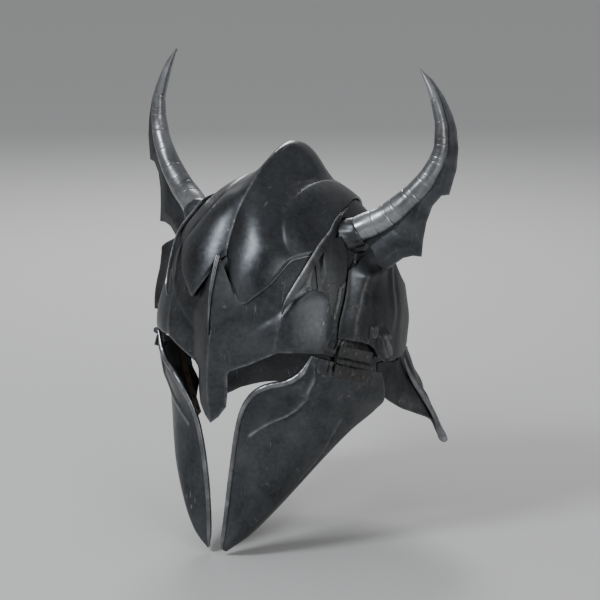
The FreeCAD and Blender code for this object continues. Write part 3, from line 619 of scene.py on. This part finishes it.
def brow_piece():
    outline = BROW + [(-x, z) for x, z in reversed(BROW[1:-1])]
    flat, faces, _ = blank(outline, 1.35)
    x, z = flat.T
    phi = np.degrees(np.arctan2(x, 80))
    for _ in range(12):
        p = dome(phi, z, 0)
        out = np.maximum(np.hypot(p[:, 0], p[:, 1] - CENTRE_Y), 20)
        phi = phi + np.degrees((x - p[:, 0]) / out * 0.9)
    d = brow_offset(x, z)
    side = np.abs(x)
    border, _ = near_line(x, z, outline, closed=True)
    d = d - 0.5 * np.exp(-(border / 1.3) ** 2)
    low_edge = ((z < 26) | ((side > 72) & (z < 74)))
    wear_and_highlight = np.where(low_edge & (side < 66), 0.7, 0.12) * np.exp(-(border / 1.3) ** 2)
    fold, _ = near_line(side, z, SIDE_FOLD)
    wear_and_highlight = np.maximum(wear_and_highlight, 0.4 * np.exp(-(fold / 0.9) ** 2))
    # A soft painted highlight runs about 2 mm either side of the arc groove.
    arc, along = near_line(side, z, ARC)
    ends = ease(along * 4) * ease((1 - along) * 4)
    wear_and_highlight = np.maximum(wear_and_highlight, 0.35 * np.exp(-((arc - 2.2) / 0.9) ** 2) * ends)
    # A thin painted highlight down the nasal ridge.
    wear_and_highlight = np.maximum(wear_and_highlight, 0.4 * np.exp(-(side / 0.8) ** 2) * (z < 40))
    return soften_edges(sheet_from("brow", faces, dome(phi, z, d), 2.0, wear_and_highlight), 0.45)


finish_piece(brow_piece(), "helmet", "dark_steel", DARK, "brow_plate")


def bead_piece():
    """Tapering bead on the prow: two raised edges with a groove between."""
    u, v = lattice(17, 150)
    across = 2 * u - 1
    z = 30 + 66.5 * v
    half = 0.35 + 1.75 * ease(v * 1.1)
    x = across * half
    top = 1.25 - 0.55 * np.cos(across * math.pi * 0.9) + 0.3 * (np.abs(across) < 0.9)
    d = brow_offset(np.zeros_like(x), z) + top * (0.45 + 0.75 * v) + 0.2
    d = d - 0.8 * (across ** 2) ** 3
    # The bright lines along the two raised edges are painted highlights over a little even wear.
    wear_and_highlight = 0.15 + 0.6 * np.exp(-((np.abs(across) - 0.72) / 0.2) ** 2)
    return grid_plate("brow_bead_strip", dome(np.degrees(x / FRONT), z, d), 1.3, wear_and_highlight)


finish_piece(bead_piece(), "helmet", "worn_edge", EDGE, "brow_bead")

# ------------------------------ temple and ear plates
seam_height = curve([(47, 17), (62, 6), (85, -8)])
temple_low = curve([(47, 18.5), (55, 14.0), (62, 8.6), (70, 3.4), (80, -1.0)])
temple_high = curve([(50, 96), (60, 108), (80, 114)])
CRACKS = [[(78, 103), (73, 89), (67, 79), (61, 70), (59.5, 60), (57, 47), (52, 36)],
          [(73, 89), (75.5, 82), (77, 75)],
          [(76, 50), (70, 40), (64, 31), (60, 20)]]


def temple_piece(name, mirror):
    u, v = lattice(70, 120)
    phi = 51 + 29 * u
    low = temple_low(phi)
    z = low + (temple_high(phi) - low) * v
    d = -0.9 + 3.4 * (1 - ease((z - seam_height(phi)) / 34)) * ease((phi - 50) / 9) * ease((75 - phi) / 7)
    before_ear = 1 - ease((phi - ear_front(z) + 0.6) / 1.6)
    d = d + 3.5 * ease((phi - 53) / 3) * before_ear * ease((z - 18) / 16)
    wear_and_highlight = np.zeros_like(d)
    for line in CRACKS:
        far, _ = near_line(phi * 1.9, z, [(a * 1.9, b) for a, b in line])
        d = d - 0.7 * np.exp(-(far / 0.8) ** 2)
        wear_and_highlight = np.maximum(wear_and_highlight, 0.5 * np.exp(-((far - 0.9) / 0.6) ** 2))
    worn = ease((44 - z) / 26) * ease((72 - phi) / 8)
    lumps = np.sin(phi * 1.3 + z * 0.41) * np.sin(z * 0.63 - phi * 0.55)
    lumps = lumps + np.sin(phi * 2.9 - z * 0.9) * 0.5
    d = d + 0.35 * worn * lumps
    return soften_edges(grid_plate(name, dome(phi, z, d), 1.6, wear_and_highlight, mirror), 0.4)


ear_front = curve([(0, 57.6), (20, 58.2), (40, 59.4), (60, 62.7), (80, 66.2), (96, 69.4)])
ear_ridge = curve([(0, 10.5), (20, 11.0), (40, 11.5), (60, 11.5), (74, 14.0), (84, 17.0), (96, 17.0)])
ear_fall = curve([(-10, 1.0), (0, 1.0), (8, 0.74), (18, 0.42), (30, 0.18), (45, 0.04), (60, 0), (80, 0)])
ear_low = curve([(60, 29), (66, 27), (72, 23), (77, 17), (81, 8), (85, 2), (100, 0), (118, 8), (132, 22)])
ear_high = curve([(60, 84), (68, 92), (80, 95), (90, 94), (98, 84), (108, 66), (118, 56), (132, 46)])
EAR_STEP = 6.5


def ear_piece(name, mirror):
    u, v = lattice(210, 110)
    low, high = ear_low(60 + 72 * u), ear_high(60 + 72 * u)
    z = low + (high - low) * v
    front = ear_front(z)
    phi = front + (132 - front) * u
    behind = phi - front
    height = 1.4 + (ear_ridge(z) - 1.4) * (1 - ease((z - 79) / 17))
    step = 3.4 + (height - 3.4) * (0.5 - 0.5 * np.cos(math.pi * np.clip(behind / EAR_STEP, 0, 1)))
    bend = phi + 3.0 * np.sin(z * 0.055 + 0.6) + 1.5 * np.sin(z * 0.12)
    fold = np.cos(np.radians((bend - 79) * 360 / 11.5))
    fold = fold + 0.35 * np.cos(np.radians((bend - 70) * 360 / 7.1))
    fold = 0.75 * fold * (0.55 + 0.45 * np.sin(phi * 0.19 + z * 0.03))
    fold = fold * ease((phi - 70) / 7) * ease((106 - phi) / 14)
    fold = fold * ease((z - 2) / 12) * ease((88 - z) / 16)
    swell = 1.6 * np.exp(-((phi - 118) / 8) ** 2 - ((z - 26) / 13) ** 2)
    back = 0.4 + (height - 0.4) * ear_fall(behind - EAR_STEP) + fold + swell
    d = np.where(behind < EAR_STEP, step, back)
    knob = np.exp(-((phi - 84.0 + (z - 16) * 0.12) / 4.2) ** 4 - ((z - 16) / 13) ** 4)
    facet = np.abs(np.mod(phi * 0.28 + z * 0.075, 1) - 0.5) * 2
    d = d + 4.2 * ease(knob * 1.3) * (0.62 + 0.38 * facet)
    small = np.exp(-((phi - 75.5) / 2.0) ** 4 - ((z - 31) / 6) ** 4)
    d = d + 2.0 * ease(small * 1.3)
    wear_and_highlight = 0.9 * ease((knob - 0.5) / 0.3) * (0.4 + 0.6 * facet)
    wear_and_highlight = np.maximum(wear_and_highlight, 0.5 * ease((small - 0.5) / 0.3))
    wear_and_highlight = np.maximum(wear_and_highlight, 0.22 * np.exp(-((behind - EAR_STEP) / 1.0) ** 2))
    wear_and_highlight = np.maximum(wear_and_highlight, 0.30 * np.exp(-((z - low) / 1.2) ** 2))
    return soften_edges(grid_plate(name, dome(phi, z, d), 1.8, wear_and_highlight, mirror), 0.5)


# ------------------------------ neck guard
neck_low = curve([(86, -26), (90, -31), (94.6, -39), (100, -47), (106, -54), (110.5, -61), (114.8, -82),
                  (118, -82), (122, -78), (127, -72), (140, -66), (160, -66), (180, -68)])
neck_reach = curve([(86, -6.8), (92, -6.4), (99, 1.5), (106, 14), (112, 28), (114.8, 33.5),
                    (119, 34), (123, 31),
                    (128, 25), (140, 19), (160, 20), (180, 21)])
neck_top = curve([(86, -2), (92, -2), (96, -4), (99, -4), (104, 3), (120, 2), (150, -8), (180, -12)])
neck_start = curve([(86, -6.8), (92, -6.4), (99, -0.9), (180, -0.9)])
neck_power = curve([(86, 1.7), (106, 1.5), (112, 1.05), (126, 1.05), (138, 1.6), (180, 1.7)])


def neck_height(phi, v):
    return neck_top(phi) + (neck_low(phi) - neck_top(phi)) * v


def neck_offset(phi, v):
    return neck_start(phi) + (neck_reach(phi) - neck_start(phi)) * v ** neck_power(phi)


def neck_points(phi, v, extra):
    return dome(phi, neck_height(phi, v), neck_offset(phi, v) + extra)


def neck_piece():
    u, v = lattice(361, 60)
    side = 2 * u - 1
    phi = 180 - 94 * np.abs(side)
    lobes = 0.5 * np.sin(np.radians(phi * 9)) * ease((phi - 122) / 8) * v ** 2
    lobes = lobes + 0.9 * np.sin(v * 19) * np.exp(-((phi - 122) / 5) ** 2) * ease(v * 2)
    points = neck_points(phi, v, lobes * 1.4)
    points[..., 0] *= np.where(side >= 0, 1, -1)
    wear_and_highlight = 0.6 * np.exp(-((1 - v) * 60 / 1.4) ** 2)
    wear_and_highlight = np.maximum(wear_and_highlight, 0.5 * np.exp(-((phi - 104) / 4) ** 2 - ((v - 0.86) / 0.12) ** 2))
    return soften_edges(grid_plate("neck_skirt", points, 1.8, wear_and_highlight), 0.5)


finish_piece(neck_piece(), "helmet", "dark_steel", SIDE, "neck_guard")


def rib_piece(name, mirror):
    """Rounded rib on the guard that grows downward and ends as a free spur."""
    u, v = lattice(25, 130)
    across = 2 * u - 1
    middle = 104.5 + 10.3 * v
    z = neck_height(middle, 0.12 + 0.88 * v) - 1.5 * ease((v - 0.8) / 0.2)
    end = np.sqrt(np.clip(1 - np.clip((v - 0.90) / 0.105, 0, 1) ** 2, 0, 1))
    phi = middle + across * (0.7 + 1.8 * v) * (0.12 + 0.88 * end)
    top = neck_top(phi)
    share = np.clip((z - top) / (neck_low(phi) - top), 0, 1)
    round_top = np.sqrt(np.clip(1 - across ** 2, 0, 1)) * end
    ripple = 0.25 * np.sin(v * 34) * ease(v * 3) * round_top
    d = neck_offset(phi, share) + 2.0 + (0.7 + 2.8 * v) * round_top + ripple
    wear_and_highlight = 0.1 + 0.55 * np.exp(-((across + 0.45) / 0.28) ** 2) + 0.3 * ease((v - 0.9) / 0.1)
    return grid_plate(name, dome(phi, z, d), 1.6 + 2.0 * v * end, wear_and_highlight, mirror)


# ------------------------------ strip down the back
def back_piece():
    u, v = lattice(25, 120)
    z = 108 - 118 * v
    x = (2 * u - 1) * (10 - 3 * v)
    d = -0.7 + 2.3 * np.sin(math.pi * u) ** 0.8
    wear_and_highlight = 0.6 * np.exp(-((u - 0.5) / 0.06) ** 2) + 0.3 * np.exp(-(np.minimum(u, 1 - u) / 0.06) ** 2)
    return soften_edges(grid_plate("back_ridge", dome(180 - np.degrees(x / REAR), z, d), 1.5, wear_and_highlight), 0.3)


finish_piece(back_piece(), "helmet", "dark_steel", DARK, "back_strip")

# ------------------------------ horns and fins
HORN_LINE = [(76.0, -11.3, 107.2), (90.7, -3.5, 116.4), (106.3, 5, 125.1), (120.5, 9.5, 137.2),
             (133.3, 14.3, 150.7), (142.6, 18.2, 164), (148.4, 21.3, 176.8), (151.3, 22.7, 189.5),
             (151.1, 22.9, 202.3), (147.4, 23.4, 217.1), (140.1, 23.4, 235.1), (129.4, 22.2, 252.2)]
HORN_R = [12.6, 12.2, 11.4, 10.4, 9.4, 8.4, 7.6, 6.9, 6.2, 5.2, 3.7, 0.6]
horn_at = curve([(k, *p, r) for k, (p, r) in enumerate(zip(HORN_LINE, HORN_R))])
RINGS = [1.5, 2.3, 2.75, 3.5, 3.8, 4.6, 5.0, 5.9, 6.25, 7.1, 7.5, 8.5, 9.6]


def horn_piece(name, mirror):
    t = np.linspace(0.55, 11, 520)
    points = horn_at(t)
    rings = np.array(RINGS)
    gap = np.min(np.abs(t[:, None] - rings), axis=1)
    k = np.clip(np.searchsorted(rings, t), 0, len(rings) - 1)
    lower = rings[np.maximum(k - 1, 0)]
    upper = rings[k]
    place = np.clip((t - lower) / np.maximum(upper - lower, 0.1), 0, 1)
    swell = 0.010 * np.sin(math.pi * place) + 0.014 * np.exp(-((1 - place) / 0.16) ** 2)
    angle = np.linspace(0, 2 * math.pi, 56, endpoint=False)
    groove = np.exp(-(gap / 0.03) ** 2)
    uneven = 1 + 0.012 * np.sin(3 * angle[None] + t[:, None] * 2.1)
    uneven = uneven + 0.008 * np.sin(5 * angle[None] - t[:, None] * 4)
    part = 0.5 + 0.5 * np.sin(angle[None] * 2 + np.floor(t * 1.7)[:, None] * 2.1)
    radius = points[:, 3:4] * (0.985 + swell[:, None] - 0.035 * groove[:, None] * part) * uneven
    wear_and_highlight = np.clip(0.16 + 0.5 * np.exp(-((1 - place) / 0.09) ** 2), 0, 1)[:, None] * (0.3 + 0.7 * part)
    # Brighter near the foot: a painted highlight on top of the ring-edge wear.
    wear_and_highlight = wear_and_highlight + 0.35 * np.exp(-((t - 1.2) / 0.9) ** 2)[:, None]
    # The side facing roughly forward is made brighter as a painted highlight; the grooves get less wear.
    wear_and_highlight = wear_and_highlight * (0.6 + 0.4 * np.cos(angle - 0.6)[None]) * (1 - 0.8 * groove[:, None])
    return tube(name, points[:, :3], radius, 56, wear_and_highlight, mirror)


FIN = [(129.4, 251), (138.6, 244.2), (150, 230), (157.8, 215.8), (162.4, 203.4), (165, 187), (164.8, 170),
       (160.2, 148.4), (153.8, 147.2), (146.8, 138), (142.7, 124), (141, 109), (140.6, 94.8), (133, 95.0),
       (125, 92.5), (119, 87.5), (113, 82.5), (108, 84), (100, 98), (89, 107), (91, 116), (106, 125),
       (120, 137), (133, 151), (142, 164), (148, 177), (151, 190), (151, 202), (147, 217), (140, 235)]
OUTER_EDGE = FIN[:17]


def fin_piece(name, mirror):
    flat, faces, _ = blank(FIN, 1.3)
    x, z = flat.T
    outer, _ = near_line(x, z, OUTER_EDGE)
    half = 0.35 + 1.05 * ease(outer / 8.5)
    centre = -2.0 + 0.277 * (x - 90.7) + 0.111 * (z - 116.4)
    bow = -1.6 * np.sin(np.clip(outer / 26, 0, 1) * math.pi)
    points = np.stack([x, centre + bow - half, z], -1)
    wear_and_highlight = 0.5 * np.exp(-(outer / 0.9) ** 2) + 0.2 * np.exp(-((outer - 8.2) / 0.8) ** 2)
    obj = sheet_from(name, faces, points, 0.0, wear_and_highlight, mirror, toward=(0, -1, 0))
    co = np.array([v.co for v in obj.data.vertices])
    count = len(points)
    co[count:, 1] = (centre + bow + half) * MM
    obj.data.vertices.foreach_set("co", co.astype(np.float32).ravel())
    obj.data.update()
    return obj


# ------------------------------ cheek plates
CHEEK_FRONT = curve([(0.00, 82.1, -69.1, 15.6), (0.07, 73, -74.6, -1), (0.13, 62.6, -81.6, -8.1),
                     (0.19, 52.0, -88.6, -10.8), (0.25, 42.2, -94.2, -16.2), (0.31, 33, -95.8, -26.7),
                     (0.38, 26, -94.6, -38.9), (0.47, 20.4, -93.0, -56), (0.58, 15.7, -92.2, -80.9),
                     (0.70, 12.2, -92.6, -105), (0.85, 9.2, -94.2, -134), (1.00, 7.0, -97.3, -161.5)])
CHEEK_REAR = curve([(0.00, 107.0, 1.0, -10), (0.10, 106.8, 5.5, -22), (0.20, 105.6, 7.5, -35),
                    (0.30, 97, 5.0, -46), (0.40, 86, -12, -60), (0.52, 72, -33, -82),
                    (0.64, 58, -49, -104), (0.78, 40, -65, -130), (0.90, 24, -80.5, -151),
                    (1.00, 10.5, -95.5, -163.5)])
cheek_bulge = curve([(0, 7.6), (0.1, 10.6), (0.2, 15), (0.3, 18), (0.4, 20), (0.6, 21),
                     (0.7, 20), (0.8, 17.5),
                     (0.9, 12), (0.96, 6), (1, 0.3)])


def cheek_points(u, v):
    a, b = CHEEK_FRONT(v), CHEEK_REAR(v)
    across = b - a
    out = np.stack([across[..., 1], -across[..., 0], 0 * across[..., 0]], -1)
    out = out / np.linalg.norm(out, axis=-1, keepdims=True)
    p = a + across * u[..., None]
    return p + out * (4 * u * (1 - u) * cheek_bulge(v))[..., None], out


S_FOLD = [(0.06, 0.02), (0.12, 0.06), (0.20, 0.12), (0.27, 0.19), (0.33, 0.245),
          (0.33, 0.30), (0.29, 0.345),
          (0.20, 0.395), (0.105, 0.465)]
LOW_LINE = [(0.747, 0.345), (0.81, 0.41), (0.90, 0.49), (0.93, 0.55), (0.92, 0.62)]


def cheek_piece(name, mirror):
    u, v = lattice(110, 200)
    points, out = cheek_points(u, v)
    fold, along = near_line(u * 100, v * 180, [(a * 100, b * 180) for a, b in S_FOLD])
    raised = 2.6 * ease(along * 8) * (1 - 0.75 * along) * np.exp(-(fold / 2.3) ** 2)
    raised = raised - 0.8 * (1 - along) * np.exp(-((fold - 5.0) / 2.6) ** 2)
    channel = np.exp(-((u * 100 - 9) / 6.0) ** 2) * ease((0.55 - v) / 0.3) * ease(v / 0.04)
    low, _ = near_line(u * 100, v * 180, [(a * 100, b * 180) for a, b in LOW_LINE])
    d = raised - 0.9 * channel - 0.7 * np.exp(-(low / 1.5) ** 2)
    worn = ease((0.13 - v) / 0.1) * ease((0.75 - u) / 0.3)
    lumps = np.sin(u * 61 + v * 90) * np.sin(v * 140 - u * 35) + 0.6 * np.sin(u * 110 - v * 80)
    d = d + 0.4 * worn * lumps
    width = np.linalg.norm(CHEEK_REAR(v) - CHEEK_FRONT(v), axis=-1)
    wear_and_highlight = 0.35 * np.exp(-((1 - u) * width / 1.3) ** 2) + 0.3 * np.exp(-(low / 0.9) ** 2)
    # The bright line along the crest of the S-fold is a painted highlight.
    wear_and_highlight = np.maximum(wear_and_highlight, 0.95 * ease(along * 5) * np.exp(-(fold / 1.1) ** 2))
    obj = grid_plate(name, points + out * d[..., None], 1.9, wear_and_highlight, mirror, centre=(40, 0, -40))
    return soften_edges(obj, 0.5)


def rim_piece(name, mirror):
    """Rolled edge round the eye and down the face opening."""
    v = np.linspace(0, 1, 260)
    points, out = cheek_points(np.zeros_like(v), v)
    uneven = 1 + 0.03 * np.sin(v * 190) * np.sin(v * 71)
    ends = ease(np.minimum(v, 1 - v) * 14)
    radius = (1.1 + (1.3 + 0.9 * ease((0.42 - v) / 0.2)) * ends) * uneven
    # Broken edge wear along the rim; the upper part round the eye is made brighter as a painted
    # highlight.
    wear_and_highlight = 0.30 + 0.30 * np.sin(v * 31) * np.sin(v * 12 + 1) + 0.25 * ease((0.4 - v) / 0.3)
    return tube(name, points + out * 0.1 + [0, 0.4, 0], radius, 20, wear_and_highlight, mirror, side=out)


# ------------------------------ horn foot
# Where the left horn stands on the skull, and the way the skull faces there.
HORN_FOOT = np.array([84.6, -6.6, 112.0])
SKIN_AT_HORN = np.array([0.797, -0.168, 0.580])
SKIN_AT_HORN /= np.linalg.norm(SKIN_AT_HORN)


def foot_collar(name, mirror):
    """Root of the horn: a low flare that starts on the skull and ends close round the horn."""
    axis = horn_at(1.3)[:3] - horn_at(0.5)[:3]
    skin, axis = SKIN_AT_HORN, axis / np.linalg.norm(axis)
    ang = np.linspace(0, 2 * math.pi, 96, endpoint=False)
    rings, wear_and_highlight = [], []
    outer = [(0.0, 17.6, -5.0, 0), (0.05, 16.9, -3.4, 0.1), (0.2, 15.4, -1.9, 0.1), (0.4, 14.3, -0.4, 0),
             (0.6, 13.6, 1.0, 0), (0.8, 13.1, 2.4, 0), (0.95, 12.8, 3.4, 0.2), (1.0, 12.4, 3.6, 0.2),
             (1.0, 12.0, 3.0, 0), (0.0, 12.0, -5.0, 0)]
    for mix, radius, height, rubbed in outer:
        normal = skin * (1 - mix) + axis * mix
        normal /= np.linalg.norm(normal)
        a = np.cross(normal, [0, 0, 1.0])
        a /= np.linalg.norm(a)
        b = np.cross(normal, a)
        centre = HORN_FOOT + (skin * (1 - mix) + axis * mix) * height
        rough = 1 + 0.012 * np.sin(ang * 5 + mix * 3) + 0.010 * np.sin(ang * 11 - mix * 4)
        ring = np.outer(np.cos(ang), a) + np.outer(np.sin(ang), b)
        rings.append(centre + ring * (radius * rough)[:, None])
        wear_and_highlight.append(rubbed * (0.6 + 0.4 * np.sin(ang * 3)))
    points = np.stack(rings)
    n, m = points.shape[:2]
    index = np.arange(n * m).reshape(n, m)
    nxt_r, nxt_a = np.roll(index, -1, 0), np.roll(index, -1, 1)
    faces = np.stack([index, nxt_a, np.roll(nxt_r, -1, 1), nxt_r], -1).reshape(-1, 4).tolist()
    return make_object(name, points, faces, np.concatenate(wear_and_highlight), mirror)


# ------------------------------ padded cap
cap_edge = curve([(-140, 46), (-60, 44), (-20, 26), (20, 14), (60, 2), (140, -8)])
GORES = 18
STUD = np.array([85.2, -6.2, 112.4])
POCKET_RADIUS, POCKET_DEPTH, POCKET_IN = 11.2, 16, 11


def cap_layer(phi, t, side, end):
    """Points on one face of the cap: t runs from its lower edge to the top of the head."""
    a = np.radians(phi)
    wide, tall = HALF_WIDTH + side, CROWN + side
    long = np.where(np.cos(a) > 0, FRONT, REAR) + end
    level = 1 / np.sqrt((np.sin(a) / wide) ** 2 + (np.cos(a) / long) ** 2)
    edge = cap_edge(CENTRE_Y - level * np.cos(a))
    wall = np.maximum(CENTRE_Z - edge, 0)
    start = np.arcsin(np.clip((edge - CENTRE_Z) / tall, 0, 1))
    arc = (math.pi / 2 - start) * (wide + tall) / 2
    run = t * (wall + arc)
    bend = start + np.clip(run - wall, 0, None) / arc * (math.pi / 2 - start)
    z = np.where(run < wall, edge + run, CENTRE_Z + tall * np.sin(bend))
    r = level * np.where(run < wall, 1.0, np.cos(bend))
    return np.stack([r * np.sin(a), CENTRE_Y - r * np.cos(a), z], -1)


def cap_piece():
    """Quilted cap: narrow padded gores between stitched seams, with a pocket for each horn's nut."""
    columns, rows = GORES * 18, 84
    phi, t = np.meshgrid(np.arange(columns) * 360.0 / columns, np.linspace(0, 0.985, rows), indexing="ij")
    gore = np.abs(np.sin(np.radians(phi * GORES / 2)))
    seam = 1 - np.clip(gore, 0, 1) ** 0.45
    seam = seam * (1 - 0.6 * ease((t - 0.8) / 0.15))
    for level in (0.055, 0.36, 0.66, 0.90):
        seam = np.maximum(seam, 0.85 * np.exp(-((t - level) / 0.010) ** 2))
    rounded = 1 - 0.35 * (np.exp(-(t / 0.02) ** 2))
    stitch = 0.06 * np.sin(t * 420) * np.exp(-(gore / 0.1) ** 2)
    full = np.clip((1 - 0.36 * seam) * rounded + stitch * 0.5, 0.2, 1)
    middle = 0.44
    out_side, in_side, in_end = -5.6, -15.8, -11.0
    mid_side, mid_end = out_side + (in_side - out_side) * middle, out_side + (in_end - out_side) * middle
    outer = cap_layer(phi, t, mid_side + (out_side - mid_side) * full,
                      mid_end + (out_side - mid_end) * full)
    inner = cap_layer(phi, t, mid_side + (in_side - mid_side) * full,
                      mid_end + (in_end - mid_end) * full)
    points = np.concatenate([outer.reshape(-1, 3), inner.reshape(-1, 3),
                             [outer[:, -1].mean(0) + [0, 0, 0.2]], [inner[:, -1].mean(0) + [0, 0, 0.2]]])
    index = np.arange(columns * rows).reshape(columns, rows)
    nxt, count = np.roll(index, -1, 0), columns * rows
    faces = np.stack([index[:, :-1], nxt[:, :-1], nxt[:, 1:], index[:, 1:]], -1).reshape(-1, 4)
    solid = faces.tolist() + (faces[:, ::-1] + count).tolist()
    solid += [[int(b), int(a), int(a) + count, int(b) + count] for a, b in zip(index[:, 0], nxt[:, 0])]
    solid += [[int(a), int(b), 2 * count] for a, b in zip(index[:, -1], nxt[:, -1])]
    solid += [[int(b) + count, int(a) + count, 2 * count + 1] for a, b in zip(index[:, -1], nxt[:, -1])]
    cap = make_object("quilted_cap", points, solid)
    for flip in (1, -1):
        centre = (STUD - SKIN_AT_HORN * POCKET_IN) * [flip, 1, 1]
        bpy.ops.mesh.primitive_cylinder_add(vertices=48, radius=POCKET_RADIUS * MM,
                                            depth=POCKET_DEPTH * MM, location=centre * MM)
        cutter = bpy.context.object
        cutter.rotation_mode = "QUATERNION"
        cutter.rotation_quaternion = Vector(SKIN_AT_HORN * [flip, 1, 1]).to_track_quat("Z", "Y")
        cut = cap.modifiers.new("pocket", "BOOLEAN")
        cut.object, cut.operation, cut.solver = cutter, "DIFFERENCE", "EXACT"
        bpy.context.view_layer.objects.active = cap
        bpy.ops.object.modifier_apply(modifier=cut.name)
        bpy.data.objects.remove(cutter, do_unlink=True)
    return cap


finish_piece(cap_piece(), "helmet", "quilted_cloth", CLOTH, "padded_cap")

# ------------------------------ the paired pieces
for side_name, flip in (("left", False), ("right", True)):
    helmet, cheek = "helmet", "cheek_" + side_name
    band = band_piece("band_" + side_name, flip)
    finish_piece(band, helmet, "worn_edge", BANDS, "crown_band_" + side_name)
    temple = mark_cracked(temple_piece("temple_" + side_name, flip), flip)
    finish_piece(temple, helmet, "dark_steel", SIDE, "temple_plate_" + side_name)
    ear = mark_cracked(ear_piece("ear_" + side_name, flip), flip)
    finish_piece(ear, helmet, "dark_steel", SIDE, "ear_plate_" + side_name)
    finish_piece(rib_piece("rib_" + side_name, flip), helmet, "worn_edge", EDGE, "neck_rib_" + side_name)
    horn = horn_piece("horn_bar_" + side_name, flip)
    finish_piece(horn, helmet, "horn_steel", HORN, "horn_" + side_name)
    finish_piece(fin_piece("fin_" + side_name, flip), helmet, "dark_steel", DARK, "horn_fin_" + side_name)
    collar = foot_collar("collar_" + side_name, flip)
    finish_piece(collar, helmet, "dark_steel", DARK, "horn_collar_" + side_name)
    sheet = mark_cracked(cheek_piece("cheek_sheet_" + side_name, flip), flip)
    finish_piece(sheet, cheek, "dark_steel", DARK, "cheek_plate_" + side_name)
    roll = rim_piece("cheek_roll_" + side_name, flip)
    finish_piece(roll, cheek, "worn_edge", EDGE, "cheek_rim_" + side_name)

# ------------------------------ nodes kept from the frame
KEPT = {"horn_nut": RIVET, "hinge_upper_leaf": IRON, "hinge_lower_leaf": IRON, "hinge_pin": RIVET,
        "hinge_upper_rivets": RIVET, "hinge_lower_rivets": RIVET, "neck_rivets": RIVET,
        "brow_rivets": RIVET,
        "chin_strap": HIDE, "strap_stud": RIVET, "skull_shell": SIDE,
        "sweatband": HIDE, "padded_cap": CLOTH}
for name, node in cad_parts.items():
    for start, material in KEPT.items():
        if name.startswith(start):
            node.data.materials.clear()
            node.data.materials.append(material)

# ------------------------------ floor and lights
floor_mat = bpy.data.materials.new("studio_floor")
floor_mat.use_nodes = True
floor_mat.node_tree.nodes["Principled BSDF"].inputs["Base Color"].default_value = (0.62, 0.62, 0.61, 1)
floor_mat.node_tree.nodes["Principled BSDF"].inputs["Roughness"].default_value = 0.8
FLOOR_DROP, FLOOR_HALF = 0.004, 20
floor_height = cad_box[0].z - FLOOR_DROP
mesh = bpy.data.meshes.new("floor")
corners = [(x * FLOOR_HALF, y * FLOOR_HALF, floor_height)
           for x, y in ((-1, -1), (1, -1), (1, 1), (-1, 1))]
mesh.from_pydata(corners, [], [(0, 1, 2, 3)])
floor = bpy.data.objects.new("floor", mesh)
bpy.context.scene.collection.objects.link(floor)
floor.data.materials.append(floor_mat)

world = bpy.data.worlds.new("studio")
bpy.context.scene.world = world
world.use_nodes = True
world.node_tree.nodes["Background"].inputs["Color"].default_value = (0.80, 0.81, 0.83, 1)
world.node_tree.nodes["Background"].inputs["Strength"].default_value = 0.48


def area(name, place, aim, size, power, colour=(1, 1, 1)):
    light = bpy.data.lights.new(name, "AREA")
    light.shape = "DISK"
    light.size = size
    light.energy = power
    light.color = colour
    obj = bpy.data.objects.new(name, light)
    obj.location = place
    obj.rotation_mode = "QUATERNION"
    obj.rotation_quaternion = (Vector(aim) - Vector(place)).to_track_quat("-Z", "Y")
    bpy.context.scene.collection.objects.link(obj)


area("key", (-0.35, -1.40, 1.25), (0, 0, 0.05), 0.5, 19, (0.93, 0.96, 1.0))
area("fill", (1.6, -0.9, 0.5), (0, 0, 0.0), 1.0, 7, (1.0, 0.98, 0.95))
area("rim", (-1.0, 1.2, 1.1), (0, 0, 0.1), 0.7, 16)
